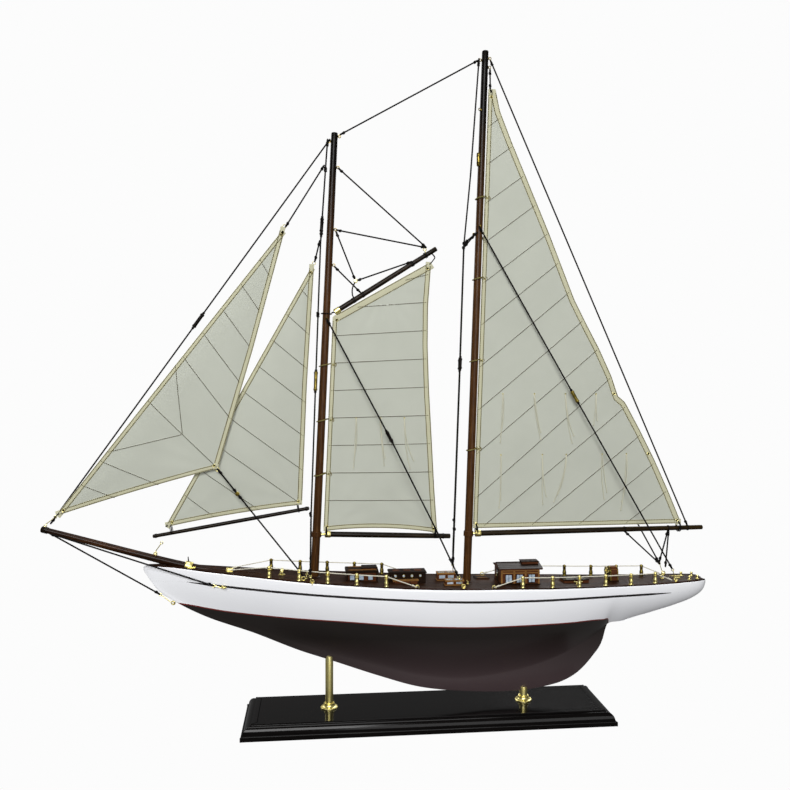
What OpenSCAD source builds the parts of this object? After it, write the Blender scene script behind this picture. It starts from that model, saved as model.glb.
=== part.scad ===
// Display model of a two-masted gaff schooner on a moulded plinth.
// +X points to the stern, -Y to port, +Z up; the origin is the middle of the plinth's underside.

/* [Plinth] */
// Length of the plinth at its underside
plinth_l = 366; // [330:1:400]
// Width of the plinth at its underside
plinth_w = 81; // [70:1:100]
// Height of the plinth
plinth_h = 14; // [12:0.5:20]
// Distance of each brass pedestal from the middle
pedestal_x = 98.7; // [80:0.1:110]
// Radius of the pedestal posts
post_r = 3.9; // [3:0.1:5]

/* [Hull] */
// Thickness of the deck board
deck_t = 1.2; // [1:0.1:2]
// Half thickness of the keel
keel_half = 2.2; // [1.5:0.1:3]
// Height of the deck stanchions
stanchion_h = 11.5; // [9:0.5:15]

/* [Rig] */
// Radius of the black rigging cord
cord_r = 0.8; // [0.4:0.05:0.8]
// Radius of the pale lifeline cord
lifeline_r = 0.5; // [0.3:0.05:0.6]
// Thickness of the sailcloth
sail_t = 0.6; // [0.4:0.1:1.2]
// Radius of both masts where the booms turn on them
mast_r = 4; // [3:0.1:4.5]
// Radial clearance of the turning collars
running_gap = 0.06; // [0.03:0.01:0.1]
// Radius of the helm's shaft
helm_shaft_r = 0.8; // [0.6:0.1:1.2]

/* [Hidden] */

fine = 32;      // facets of small round things, which are exact circles all the same
clear = 0.4;    // gap left between parts that move past each other
bronze = "darkgoldenrod";
mahogany = "saddlebrown";
ebony = "#1d1714";
canvas = "#b9b8a4";

// ---- plinth ----
foot_h = 4.5;           // square band at the foot of the plinth
foot_step = 1.4;
lip_h = 1.6;            // square band under the top face
inset_x = 9.5;
inset_y = 6.85;

// ---- hull lines: x, half breadth, keel, rabbet, sheer ----
OFFSETS = [
  [-278, 1.5, 153, 155, 158.5], [-270, 3, 141.5, 144, 158.3], [-262, 4.8, 132.5, 136, 158],
  [-247, 7.8, 122.5, 126, 157.2], [-220, 12.2, 108.5, 112, 154], [-172, 18.3, 90.5, 95, 148.8],
  [-128, 24, 72, 78, 144.3], [-98, 27.6, 61.5, 68, 142], [-48, 30.9, 43.7, 53, 138.5],
  [-10, 31.8, 32, 43, 136.3], [30, 32, 26.2, 38, 134.9], [90, 31, 24, 44, 133.8],
  [120, 29.9, 27.4, 52, 133], [140, 28.6, 32.5, 60, 132.8], [156, 27.3, 41.5, 68, 132.5],
  [171, 26, 57, 77, 132.4], [181, 25.2, 72, 84, 132.4], [186, 24.8, 88.8, 89.4, 132.4],
  [201, 23.7, 91.4, 92, 132.4], [211, 22.9, 94.4, 95, 132.4], [232, 20.9, 99.8, 100.4, 132.6], [262, 17.3, 108.2, 108.8, 133.2],
  [276, 14.6, 113.3, 113.9, 133.5], [284, 11.9, 117.8, 118.4, 133.6], [288, 8.9, 121.6, 122.2, 133.2],
  [291, 4, 127, 127.6, 131.6]
];
// how full the sections are: under 1 is full and round, over 1 is hollow
FULLNESS = [[-278, 1.2], [-128, 1.4], [0, 1.5], [120, 1.4], [186, 1.1], [232, 0.85], [291, 0.7]];
LEVELS = [0, 0.12, 0.25, 0.4, 0.55, 0.7, 0.85, 1];
station_steps = 2;

function slope(t, i, c) =
  i == 0 ? (t[1][c] - t[0][c]) / (t[1][0] - t[0][0]) :
  i == len(t) - 1 ? (t[i][c] - t[i - 1][c]) / (t[i][0] - t[i - 1][0]) :
  ((t[i + 1][c] - t[i][c]) / (t[i + 1][0] - t[i][0]) + (t[i][c] - t[i - 1][c]) / (t[i][0] - t[i - 1][0])) / 2;
function span_of(t, x, i = 0) = i >= len(t) - 2 || x < t[i + 1][0] ? i : span_of(t, x, i + 1);
// cubic through column c of the offsets at x
function line_at(x, c) =
  let (i = span_of(OFFSETS, x), a = OFFSETS[i], b = OFFSETS[i + 1], h = b[0] - a[0], u = (x - a[0]) / h)
  (2 * u ^ 3 - 3 * u ^ 2 + 1) * a[c] + (u ^ 3 - 2 * u ^ 2 + u) * h * slope(OFFSETS, i, c)
  + (3 * u ^ 2 - 2 * u ^ 3) * b[c] + (u ^ 3 - u ^ 2) * h * slope(OFFSETS, i + 1, c);
function half_beam(x) = line_at(x, 1);
function sheer_z(x) = line_at(x, 4);
function deck_z(x) = sheer_z(x) + deck_t;
STATIONS = [
  for (i = [0:len(OFFSETS) - 2], k = [0:station_steps - 1])
    OFFSETS[i][0] + (OFFSETS[i + 1][0] - OFFSETS[i][0]) * k / station_steps,
  OFFSETS[len(OFFSETS) - 1][0]
];
function half_section(x) =
  let (b = half_beam(x), k = min(keel_half, b * 0.6), full = lookup(x, FULLNESS), r = line_at(x, 3))
  [[k, line_at(x, 2)], for (t = LEVELS) [k + (b - k) * sin(90 * t ^ 0.9) ^ full, r + (sheer_z(x) - r) * t]];
function section(x) =
  let (s = half_section(x), n = len(s))
  [for (i = [n - 1:-1:0]) [x, -s[i][0], s[i][1]], for (i = [0:n - 1]) [x, s[i][0], s[i][1]]];
function deck_section(x) =
  let (b = half_beam(x) - min(0.6, half_beam(x) * 0.3), z = sheer_z(x))
  [[x, -b, z], [x, b, z], [x, b, z + deck_t * 0.8], [x, 0, z + deck_t], [x, -b, z + deck_t * 0.8]];
// closed skin over rings of equal length
function skin_faces(rings, n) = [
  for (i = [0:rings - 2], j = [0:n - 1])
    let (a = i * n + j, b = i * n + (j + 1) % n, c = a + n, d = b + n) each [[a, b, c], [b, d, c]],
  [for (j = [n - 1:-1:0]) j], [for (j = [0:n - 1]) (rings - 1) * n + j]
];
module skin(rings) {
  n = len(rings[0]);
  polyhedron(points = [for (r = rings) each r], faces = skin_faces(len(rings), n), convexity = 8);
}

// ---- masts, spars and sails: [x, z] on the centre line ----
FORE_FOOT = [-114.1, 128];
FORE_HEAD = [-93.4, 586.5];
MAIN_FOOT = [39.6, 120];
MAIN_HEAD = [59.4, 674.5];
boom_band = 200;        // the masts are true cylinders up to this height
mast_tip_r = 3.4;
function on_mast(foot, head, z) = foot[0] + (head[0] - foot[0]) * (z - foot[1]) / (head[1] - foot[1]);
function fore_x(z) = on_mast(FORE_FOOT, FORE_HEAD, z);
function main_x(z) = on_mast(MAIN_FOOT, MAIN_HEAD, z);
function rake(foot, head) = atan((head[0] - foot[0]) / (head[1] - foot[1]));

SPRIT_TIP = [-374, 0, 196];
SPRIT_BEND = [-236, 0, 157.5];
SPRIT_HEEL = [-166, 0, 148];
FORE_BOOM = [[-103.3, 0, 186.5], [23.4, 0, 182.3]];
MAIN_BOOM = [[48.6, 0, 184.6], [289, 0, 186.8]];
GAFF = [[-93.5, 0, 407.5], [8.2, 0, 472.3]];
CLUB = [[-270.3, 0, 187.3], [-118.5, 0, 212.6]];
JIB = [[-359, 210], [-142, 490], [-207.5, 254]];
jib_y = -6;             // the jib is sheeted to port
STAYSAIL = [[-258, 196.5], [-114, 455], [-126, 216.5]];
FORESAIL = [[-104.2, 189.9], [9.6, 186.2], [3, 300], [-1, 400], [3.5, 459], [-95, 403]];
MAINSAIL = [
  [46.9, 190.2], [266.2, 191.5], [238.2, 258.5], [197, 319], [190, 343.9], [151.5, 422.5],
  [125.1, 489.9], [62.6, 636]
];
FORE_SHROUD = [[-100.4, -2.4, 579.5], [-101.8, -3.5, 560], [-107.4, -8.6, 476], [-112.5, -17, 330], [-116.8, -24, 203], [-117.4, -26, 152]];
FORE_RUNNER = [[-100.4, -5.4, 400.5], [-36.8, -15.6, 278], [6.8, -24.3, 190], [26.5, -28, 148]];
MAIN_SHROUD = [[52.4, -2.4, 665.8], [42.6, -8.2, 546.6], [35.2, -11.8, 476.3], [29.9, -18.2, 350], [21.5, -27, 161]];
MAIN_RUNNER = [[51.8, -4.8, 495.5], [152, -11.4, 318], [249.6, -16, 147.5]];
// the starboard copy of a port line, set further aft by lead times its breadth
function starboard(line, lead = 0) = [for (p = line) [p.x - lead * p.y, -p.y, p.z]];
FORE_RUNNER_STARBOARD = starboard(FORE_RUNNER, 0.125);
MAIN_SHROUD_STARBOARD = [each starboard(MAIN_SHROUD, 0.335), [30.8, 28, 148]];
FORESTAY = [[-366.5, 0, 201], [-97.9, 0, 580.2]];

STANCHION_FORE = [-157, -128, -100.5, -72.5, -44];
STANCHION_AFT = [91, 121.5, 149.5, 177.5, 204.5, 231];
rail_inset = 3.6;
function rail_y(x) = half_beam(x) - rail_inset;
rail_ball = 1.6;
function rail_top(x) = [x, -rail_y(x), deck_z(x) + stanchion_h - rail_ball];

// ---- shared shapes ----
module rod(a, b, ra, rb = undef) {
  v = b - a;
  translate(a) rotate([0, acos(v.z / norm(v)), atan2(v.y, v.x)])
    cylinder(h = norm(v), r1 = ra, r2 = is_undef(rb) ? ra : rb, $fn = fine);
}
// a cord along points, with a small knot at each inner point
module cord(points, r) {
  for (i = [0:len(points) - 2]) rod(points[i], points[i + 1], r);
  for (i = [1:1:len(points) - 2]) translate(points[i]) sphere(r * 1.7, $fn = fine);
}
module both_sides() {
  children();
  mirror([0, 1, 0]) children();
}
// wire ring whose axis lies along X, Y or Z
module ring(at, r, wire, turn = [0, 0, 0]) {
  translate(at) rotate(turn) rotate_extrude($fn = 48) translate([r, 0]) circle(r = wire, $fn = 16);
}
// screw eye: a ring on a shank; the shank starts at the origin and runs down
module screw_eye(at, turn = [0, 0, 0], shank = 4, ring_r = 1.8) {
  translate(at) rotate(turn) {
    translate([0, 0, ring_r + 0.2]) rotate([90, 0, 0]) rotate_extrude($fn = 32) translate([ring_r, 0]) circle(r = 0.5, $fn = 16);
    translate([0, 0, -shank]) cylinder(h = shank + 0.4, r = 0.55, $fn = fine);
    translate([0, 0, -0.3]) cylinder(h = 0.5, r = 1.1, $fn = fine);
  }
}
// a flat sail panel standing on the centre plane
module sailcloth(outline, y = 0) {
  translate([0, y + sail_t / 2, 0]) rotate([90, 0, 0]) linear_extrude(sail_t) polygon(outline);
}
// a box standing on the sloping deck, let in by sink
module deck_box(x0, x1, half_w, top, sink = 0.4, y = 0) {
  translate([0, y + half_w, 0]) rotate([90, 0, 0]) linear_extrude(2 * half_w)
    polygon([[x0, deck_z(x0) - sink], [x1, deck_z(x1) - sink], [x1, top], [x0, top]]);
}

// ---- plinth and pedestals ----
function moulding(half, inset) = [
  [half, 0], [half, foot_h], [half - foot_step * inset / inset_x, foot_h],
  for (a = [0:15:90])
    [half - inset * (0.2 + 0.72 * (1 - cos(a))), foot_h + (plinth_h - foot_h - lip_h) * sin(a)],
  [half - inset, plinth_h - lip_h], [half - inset, plinth_h]
];
module plinth_side(half, inset, length) {
  edge = moulding(half, inset);
  rotate([90, 0, 0]) translate([0, 0, -length / 2]) linear_extrude(length)
    polygon([each edge, for (i = [len(edge) - 1:-1:0]) [-edge[i][0], edge[i][1]]]);
}
screw_r = 1.5;
screw_head_r = 3.2;
module at_pedestals() for (s = [-1, 1]) translate([s * pedestal_x, 0, 0]) children();
module base_plinth() {
  color("#15100e") difference() {
    intersection() {
      plinth_side(plinth_l / 2, inset_x, plinth_w + 2);
      rotate([0, 0, 90]) plinth_side(plinth_w / 2, inset_y, plinth_l + 2);
    }
    at_pedestals() {
      translate([0, 0, -1]) cylinder(h = plinth_h + 2, r = screw_r, $fn = fine);
      translate([0, 0, -1]) cylinder(h = 4.2, r = screw_head_r + 0.4, $fn = fine);
    }
  }
}
collar_h = 5;
function keel_under(x) = line_at(x, 2);
module pedestal_posts() {
  color(bronze) at_posts_with_height();
}
module at_posts_with_height() {
  for (s = [-1, 1]) {
    slope_drop = 0.6 * post_r;
    translate([s * pedestal_x, 0, plinth_h]) difference() {
      cylinder(h = keel_under(s * pedestal_x) - plinth_h + slope_drop + 1, r = post_r, $fn = 48);
      translate([0, 0, -1]) cylinder(h = keel_under(s * pedestal_x) + 10, r = screw_r, $fn = fine);
      translate([-20, -keel_half - 0.05, keel_under(s * pedestal_x) - plinth_h - 1.6])
        cube([40, 2 * keel_half + 0.1, 20]);
    }
  }
}
module pedestal_collars() {
  color(bronze) at_pedestals() translate([0, 0, plinth_h]) rotate_extrude($fn = 64)
    polygon([
      [post_r + 0.05, 0], [8.5, 0], [8.5, 1], for (a = [0:18:90]) [8.1 - 2.9 * sin(a), 1.2 + 2.6 * (1 - cos(a))],
      [5.1, collar_h], [post_r + 0.05, collar_h]
    ]);
}
module pedestal_screws() {
  color("silver") for (s = [-1, 1]) translate([s * pedestal_x, 0, 1.2]) {
    difference() {
      cylinder(h = 1.9, r = screw_head_r, $fn = fine);
      translate([-4, -0.4, -1]) cube([8, 0.8, 1.7]);
    }
    translate([0, 0, 1.8]) cylinder(h = keel_under(s * pedestal_x) + 16, r = screw_r - 0.1, $fn = fine);
  }
}

// ---- hull and deck ----
module hull() {
  color("white") skin([for (x = STATIONS) section(x)]);
}
module deck() {
  color(mahogany) skin([for (x = STATIONS) if (x > -276 && x < 290) deck_section(x)]);
}

// ---- spars that stand on the hull ----
module mast(foot, head) {
  band = boom_band - foot[1];
  length = norm(head - foot);
  translate([foot[0], 0, foot[1]]) rotate([0, rake(foot, head), 0]) {
    cylinder(h = band, r = mast_r, $fn = 64);
    translate([0, 0, band]) cylinder(h = length - band - 3, r1 = mast_r, r2 = mast_tip_r, $fn = 64);
    translate([0, 0, length - 3]) cylinder(h = 3, r1 = mast_tip_r, r2 = mast_tip_r - 0.4, $fn = 64);
  }
}
module foremast() {
  color("#3a251b") mast(FORE_FOOT, FORE_HEAD);
}
module mainmast() {
  color("#3a251b") mast(MAIN_FOOT, MAIN_HEAD);
}
module bowsprit() {
  color("#2c1c15") {
    rod(SPRIT_TIP, SPRIT_BEND, 2.6, 3.4);
    rod(SPRIT_BEND, SPRIT_HEEL, 3.4, 2.6);
    translate(SPRIT_BEND) sphere(3.42, $fn = fine);
    translate(SPRIT_TIP) sphere(3.3, $fn = fine);
  }
}
module band_on(a, b, at_x, inner, outer, width) {
  f = (at_x - a.x) / (b.x - a.x);
  v = (b - a) / norm(b - a);
  centre = a + (b - a) * f;
  difference() {
    rod(centre - v * width / 2, centre + v * width / 2, outer);
    rod(centre - v * width, centre + v * width, inner);
  }
}
module bowsprit_bands() {
  color(bronze) {
    band_on(SPRIT_BEND, SPRIT_HEEL, -230, 3.28, 4.1, 5.6);
    band_on(SPRIT_BEND, SPRIT_HEEL, -196, 2.9, 3.8, 5.6);
  }
}

// ---- deck houses ----
module window_row(xs, z, w, h, y, proud = 0.5) {
  for (x = xs) translate([x - w / 2, y - proud, z - h / 2]) cube([w, proud, h]);
}
house_x = [-82, -51];
house_top = 149.5;
house_w = 10.5;
module companion_house() {
  color(mahogany) deck_box(house_x[0], house_x[1], house_w, house_top);
}
module companion_roof() {
  color("#5a3020") {
    translate([house_x[0] - 1, -house_w - 1, house_top]) cube([house_x[1] - house_x[0] + 2, 2 * house_w + 2, 2]);
    translate([house_x[0] + 16, -6, house_top + 2]) cube([14, 12, 2]);
  }
}
module companion_windows() {
  color("#9fb4c8") both_sides() window_row([-76.3, -67.3, -58.3], 145.3, 4.6, 5, -house_w);
}
trunk_x = [-39, -2.8];
trunk_top = 147;
trunk_w = 7.5;
bench_x = [-35.8, -10.7];    // the lower box the trunk stands in
bench_w = 12.5;
bench_top = 141.4;
module trunk_cabin() {
  color("#6b3a22") {
    deck_box(trunk_x[0], trunk_x[1], trunk_w, trunk_top);
    deck_box(bench_x[0], bench_x[1], bench_w, bench_top);
  }
}
module trunk_roof() {
  color("#5a3020") translate([trunk_x[0] - 1, -trunk_w - 1, trunk_top])
    cube([trunk_x[1] - trunk_x[0] + 2, 2 * trunk_w + 2, 1.8]);
}
module trunk_portholes() {
  color("#9fb4c8") both_sides() for (i = [0:3]) translate([-33.2 + 8.3 * i, -trunk_w, 144.8])
    rotate([90, 0, 0]) cylinder(h = 0.6, r = 1.5, $fn = fine);
}
SKYLIGHTS = [[20, 8, 143.8], [25, -12, 141]];   // x, y, top
skylight_l = 19;
skylight_w = 4.5;
module skylights() {
  color("#a9793f") for (s = SKYLIGHTS) deck_box(s.x - skylight_l / 2, s.x + skylight_l / 2, skylight_w, s.z, y = s.y);
}
module skylight_glass() {
  color("#9fb4c8") for (s = SKYLIGHTS, e = [-1, 1]) translate([s.x + e * 4.6 - 3.4, s.y - 3.3, s.z]) cube([6.8, 6.6, 0.5]);
}
module cargo_hatch() {
  color("#3b2015") deck_box(51.5, 65.5, 6, 136.8, y = 15);
}
deckhouse_x = [72, 112];
deckhouse_top = 149;
deckhouse_w = 14;
deckhouse_ridge = 5;     // rise of the roof above the walls
module deckhouse() {
  color(mahogany) deck_box(deckhouse_x[0], deckhouse_x[1], deckhouse_w, deckhouse_top);
}
module deckhouse_roof() {
  eave = deckhouse_w + 1.5;
  color("#5a3020") translate([deckhouse_x[0] - 4, 0, deckhouse_top]) rotate([90, 0, 90])
    linear_extrude(deckhouse_x[1] - deckhouse_x[0] + 7)
      polygon([[-eave, 0], [eave, 0], [eave, 1.2], [0, deckhouse_ridge], [-eave, 1.2]]);
}
module deckhouse_windows() {
  color("#9fb4c8") both_sides() window_row([80.2, 91.4, 103.7], 141, 6, 8, -deckhouse_w);
}
module deckhouse_hatch() {
  color("#5a3020") translate([96, -5, deckhouse_top + deckhouse_ridge - 0.2]) cube([17, 10, 2.2]);
}
module aft_skylight() {
  color("#20242c") deck_box(139, 165, 8, 137.2);
}

// ---- helm ----
HELM = [186, 0, 143];   // middle of the wheel
wheel_r = 5.2;
box_x = [188.5, 197];
module helm_box() {
  color("#4a2a1a") difference() {
    union() {
      deck_box(box_x[0], box_x[1], 5.5, HELM.z);
      translate([box_x[0], 0, HELM.z]) rotate([0, 90, 0]) cylinder(h = box_x[1] - box_x[0], r = 5.5, $fn = 64);
    }
    translate([box_x[0] - 1, 0, HELM.z]) rotate([0, 90, 0]) cylinder(h = 7, r = helm_shaft_r + running_gap, $fn = fine);
  }
}
rim_r = wheel_r - 1.2;
module helm_wheel() {
  color(bronze) translate(HELM) rotate([0, 90, 0]) {
    cylinder(h = 7, r = helm_shaft_r, $fn = fine);
    translate([0, 0, -1]) cylinder(h = 2, r = 1.5, $fn = fine);
    rotate_extrude($fn = 64) translate([rim_r - 0.5, -0.5]) square([1, 1]);
    for (i = [0:7]) rotate([0, 0, i * 45]) translate([1.2, 0, 0]) rotate([0, 90, 0])
      cylinder(h = wheel_r - 1.2, r = 0.35, $fn = fine);
  }
}

// ---- deck fittings ----
module windlass() {
  x = -145.5;
  z = deck_z(x);
  color(bronze) {
    translate([x, 0, z - 1.5]) cylinder(h = 2.3, r = 3.2, $fn = fine);
    translate([x, 0, z + 0.6]) cylinder(h = 3.2, r = 1.6, $fn = fine);
    translate([x, 0, z + 3.6]) rotate([90, 0, 0]) translate([0, 0, -4.5]) cylinder(h = 9, r = 1.1, $fn = fine);
    for (s = [-1, 1]) translate([x, s * 4.6, z + 3.6]) sphere(1.7, $fn = fine);
  }
}
module stanchion(x) {
  translate([x, -rail_y(x), deck_z(x)]) rotate_extrude($fn = 32) polygon([
    [0, -3], [0.8, -3], [0.8, -0.3], [2.2, -0.3], [2.2, 0.9], [1.5, 1.6], [1.8, 3], [1.4, 4.6], [1.2, 7],
    [1.5, stanchion_h - 3.2], for (a = [-60:20:80]) [rail_ball * cos(a), stanchion_h - rail_ball * (1 - sin(a))],
    [0, stanchion_h]
  ]);
}
module stanchions() {
  color(bronze) both_sides() for (x = [each STANCHION_FORE, each STANCHION_AFT]) stanchion(x);
}
LINE_FORE_END = [-14, -28.4, 138.6];
LINE_AFT_START = [62, -28.6, 136.4];
LINE_AFT_END = [250, -14.5, 135.9];
// separate lengths of line along points, each ending inside the ball that holds it
module spans(points, r, inset) {
  for (i = [0:len(points) - 2]) {
    v = points[i + 1] - points[i];
    u = v / norm(v) * inset;
    rod(points[i] + u, points[i + 1] - u, r);
  }
}
module lifelines() {
  color("#c9bfa0") both_sides() {
    spans([[-196, -4.2, 153.8], for (x = STANCHION_FORE) rail_top(x), LINE_FORE_END], lifeline_r, rail_ball / 2);
    spans([LINE_AFT_START, for (x = STANCHION_AFT) rail_top(x), LINE_AFT_END], lifeline_r, rail_ball / 2);
  }
}
module cleat(at, length, turn = 0) {
  translate(at) rotate([0, 0, turn]) {
    for (s = [-1, 1]) translate([s * length / 5, 0, -1]) cylinder(h = 2.6, r = 0.7, $fn = fine);
    translate([-length / 2, 0, 1.8]) rotate([0, 90, 0]) cylinder(h = length, r = 0.6, $fn = fine);
    for (s = [-1, 1]) translate([s * length / 2, 0, 1.8]) sphere(0.75, $fn = fine);
  }
}
module deck_cleats() {
  color(bronze) {
    for (x = [-121, 39.5]) both_sides() cleat([x, -9, deck_z(x)], 6, 90);
    cleat([262, 0, deck_z(262)], 14);
    cleat([152, -13, deck_z(152)], 8);
  }
}
module stern_chocks() {
  color(bronze) both_sides() for (p = [[271, -9.5], [281, -6.5]]) {
    translate([p.x, p.y, deck_z(p.x) - 1]) cylinder(h = 3.4, r = 0.9, $fn = fine);
    translate([p.x, p.y, deck_z(p.x) + 2.6]) sphere(1.4, $fn = fine);
  }
}
// where the cords end on the deck and the hull; the hooks reach from the cord to the eye
FORE_SHROUD_EYE = [-115.5, -25.2, 143.6];
FORE_RUNNER_EYE = [31.8, -28.2, 136.1];
MAIN_RUNNER_EYE = [254, -14.8, 134.3];
SHEET_EYE = [246, 0, 134];
BOB_EYE = [-249.5, 0, 123.5];
SPRIT_SHROUD_EYE = [-200, -14.6, 139];
JIB_SHEET_EYE = [-124, -18.6, 145.2];
module deck_eyes() {
  color(bronze) {
    both_sides() for (p = [FORE_SHROUD_EYE, FORE_RUNNER_EYE, MAIN_RUNNER_EYE, LINE_FORE_END - [0, 0, 2], LINE_AFT_START - [0, 0, 2]])
      screw_eye(p);
    screw_eye(SHEET_EYE);
    screw_eye(BOB_EYE, [0, -140, 0]);
    both_sides() screw_eye(SPRIT_SHROUD_EYE, [65, 0, 0]);
    screw_eye(JIB_SHEET_EYE);
    screw_eye([-267.8, 0, 168.4], shank = 3, ring_r = 1.5);
  }
}
// each of the masts' eyes: height and side, as degrees round the mast from aft
module mast_eye(foot, head, z, side) {
  r = mast_r + (mast_tip_r - mast_r) * max(0, z - boom_band) / (head[1] - boom_band);
  translate([on_mast(foot, head, z), 0, z]) rotate([0, 0, side]) translate([r, 0, 0]) rotate([0, 90, 0]) screw_eye([0, 0, 0.2], shank = 2, ring_r = 1.3);
}
module mast_eyes() {
  color(bronze) {
    for (e = [[578, 180], [583, 0], [552, 0], [490, 0], [454.5, 0], [401, -90], [401, 90]])
      mast_eye(FORE_FOOT, FORE_HEAD, e[0], e[1]);
    for (e = [[665, 180], [667, 0], [658, 0], [495.5, -90], [495.5, 90], [614, -150], [488, 180]])
      mast_eye(MAIN_FOOT, MAIN_HEAD, e[0], e[1]);
  }
}
module rigging_hooks() {
  color(bronze) {
    both_sides() {
      rod([-117.2, -25.9, 151], FORE_SHROUD_EYE + [0, 0, 2.6], 0.5);
      rod([250, -15.9, 146.6], MAIN_RUNNER_EYE + [0, 0, 2.6], 0.5);
      rod([-210, -14.3, 141.2], SPRIT_SHROUD_EYE + [-1.6, -1.2, 1], 0.5);
    }
    rod([27, -28, 147], FORE_RUNNER_EYE + [0, 0, 2.6], 0.5);
    rod([30.6, 28, 147], [FORE_RUNNER_EYE.x, -FORE_RUNNER_EYE.y, FORE_RUNNER_EYE.z + 2.6], 0.5);
    rod([-263, 0, 130.4], BOB_EYE + [-1.6, 0, -1.4], 0.5);
    rod([-267.6, 0, 171.8], [-262, 0, 180.4], 0.5);
    rod([-371.4, 0, 198.4], [-362, 0, 207.6], 0.5);
  }
}

// ---- standing rigging ----
module bowsprit_stays() {
  color(ebony) {
    rod([-368, 0, 192.6], [-263, 0, 130.4], cord_r);
    both_sides() rod([-366, -1.6, 192], [-210, -14.3, 141.2], cord_r);
  }
}
module forestay() {
  color(ebony) rod(FORESTAY[0], FORESTAY[1], cord_r);
}
module spring_stay() {
  color(ebony) rod([-88.2, 0, 585.6], [51.6, 0, 665], cord_r);
}
module fore_shrouds() {
  color(ebony) both_sides() cord(FORE_SHROUD, cord_r);
}
module fore_runners() {
  color(ebony) {
    cord(FORE_RUNNER, cord_r);
    cord(FORE_RUNNER_STARBOARD, cord_r);
  }
}
module main_shrouds() {
  color(ebony) for (line = [MAIN_SHROUD, MAIN_SHROUD_STARBOARD]) {
    cord(line, cord_r);
    rod([50.2, 4.6 * sign(line[0].y), 489.5], line[2], cord_r);
  }
}
module main_runners() {
  color(ebony) both_sides() cord(MAIN_RUNNER, cord_r);
}
// a wooden block threaded on a cord, length l, at the fraction f between two points
module block_on(a, b, f, l, r) {
  v = (b - a) / norm(b - a);
  m = a + (b - a) * f;
  difference() {
    rod(m - v * l / 2, m + v * l / 2, r);
    rod(m - v * l, m + v * l, cord_r + 0.02);
  }
}
module threaded_blocks(fore_shroud, fore_runner, main_shroud, main_runner) {
  block_on(fore_shroud[1], fore_shroud[2], 0.8, 15, 2);
  block_on(fore_shroud[2], fore_shroud[3], 0.94, 20, 2);
  block_on(fore_runner[0], fore_runner[1], 0.95, 12, 2.2);
  block_on(main_shroud[2], main_shroud[3], 0.95, 12, 2);
  block_on(main_runner[0], main_runner[1], 0.97, 14, 2.1);
}
module rigging_blocks() {
  color("#4a3320") {
    threaded_blocks(FORE_SHROUD, FORE_RUNNER, MAIN_SHROUD, MAIN_RUNNER);
    threaded_blocks(starboard(FORE_SHROUD), FORE_RUNNER_STARBOARD, MAIN_SHROUD_STARBOARD, starboard(MAIN_RUNNER));
    block_on(FORESTAY[0], FORESTAY[1], 0.52, 17, 2.1);
    translate([main_x(556) - mast_r + 0.5, -3.4, 556]) cylinder(h = 14, r = 2, $fn = fine);
  }
}

// ---- jib ----
module jib_sail() {
  color(canvas) sailcloth(JIB, jib_y);
}
module headsail_halyards() {
  color(ebony) {
    rod([JIB[1][0], jib_y, JIB[1][1]], [-103.6, -4.4, 553], cord_r);
    rod([-113.2, 0, 457.4], [-108, -7, 478], cord_r);
  }
}
JIB_BLOCK = [-188, -10, 229];
CLUB_SHEET = [[-117.5, -4, 209], [-116.5, -20, 207]];
module headsail_sheets() {
  color(ebony) {
    rod([JIB[2][0], jib_y, JIB[2][1] - 1], JIB_BLOCK, cord_r);
    rod(JIB_BLOCK, JIB_SHEET_EYE + [0, 0, 4.4], cord_r);
    translate(JIB_BLOCK) rotate([0, 50, 0]) cube([4.4, 2.6, 3], center = true);
    rod(CLUB_SHEET[0], CLUB_SHEET[1], cord_r);
  }
}

// ---- club-footed staysail, turns about the line from its tack to its head ----
module club_boom() {
  color("#2c1c15") {
    rod(CLUB[0], CLUB[1], 1.8);
    for (p = CLUB) translate(p) sphere(1.85, $fn = fine);
  }
}
module staysail() {
  color(canvas) sailcloth(STAYSAIL);
}

// ---- foresail with its boom and gaff, turns about the foremast ----
module spar(ends, r0, r1) {
  rod(ends[0], ends[1], r0, r1);
  translate(ends[1]) sphere(r1 * 1.02, $fn = fine);
}
// brass collar that turns on the mast, with a socket for the spar
module gooseneck(foot, head, ends, spar_r, h = 6) {
  z = ends[0].z;
  v = (ends[1] - ends[0]) / norm(ends[1] - ends[0]);
  difference() {
    union() {
      translate([on_mast(foot, head, z), 0, z]) rotate([0, rake(foot, head), 0]) translate([0, 0, -h / 2])
        cylinder(h = h, r = mast_r + 1.1, $fn = 64);
      rod([on_mast(foot, head, z) + 4, 0, z], ends[0] + v * 5, spar_r + 0.6);
    }
    translate([on_mast(foot, head, z), 0, z]) rotate([0, rake(foot, head), 0]) translate([0, 0, -h])
      cylinder(h = 2 * h, r = mast_r + running_gap, $fn = 64);
    rod(ends[0], ends[0] + v * 8, spar_r);
  }
}
module fore_boom() {
  color("#2c1c15") spar(FORE_BOOM, 2.7, 2.4);
}
module fore_gooseneck() {
  color(bronze) gooseneck(FORE_FOOT, FORE_HEAD, FORE_BOOM, 2.7);
}
module gaff() {
  v = (GAFF[1] - GAFF[0]) / norm(GAFF[1] - GAFF[0]);
  color("#2c1c15") {
    rod(GAFF[0], GAFF[1], 2.6, 2.2);
    translate(GAFF[1]) sphere(2.25, $fn = fine);
    rod(GAFF[0] - v * 3.6, GAFF[0] + v * 0.5, 0.8);
    ring([fore_x(406), 0, 406], 5.4, 0.7);
  }
}
module foresail() {
  color(canvas) sailcloth(FORESAIL);
}
module hoops(foot, head, heights, reach) {
  for (z = heights) ring([on_mast(foot, head, z) + reach, 0, z], mast_r + 0.8 + reach, 0.5, [0, rake(foot, head), 0]);
}
module fore_hoops() {
  color(ebony) hoops(FORE_FOOT, FORE_HEAD, [246, 300, 355], 1);
}
PEAK = [-0.9, 0, 473.5];
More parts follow.
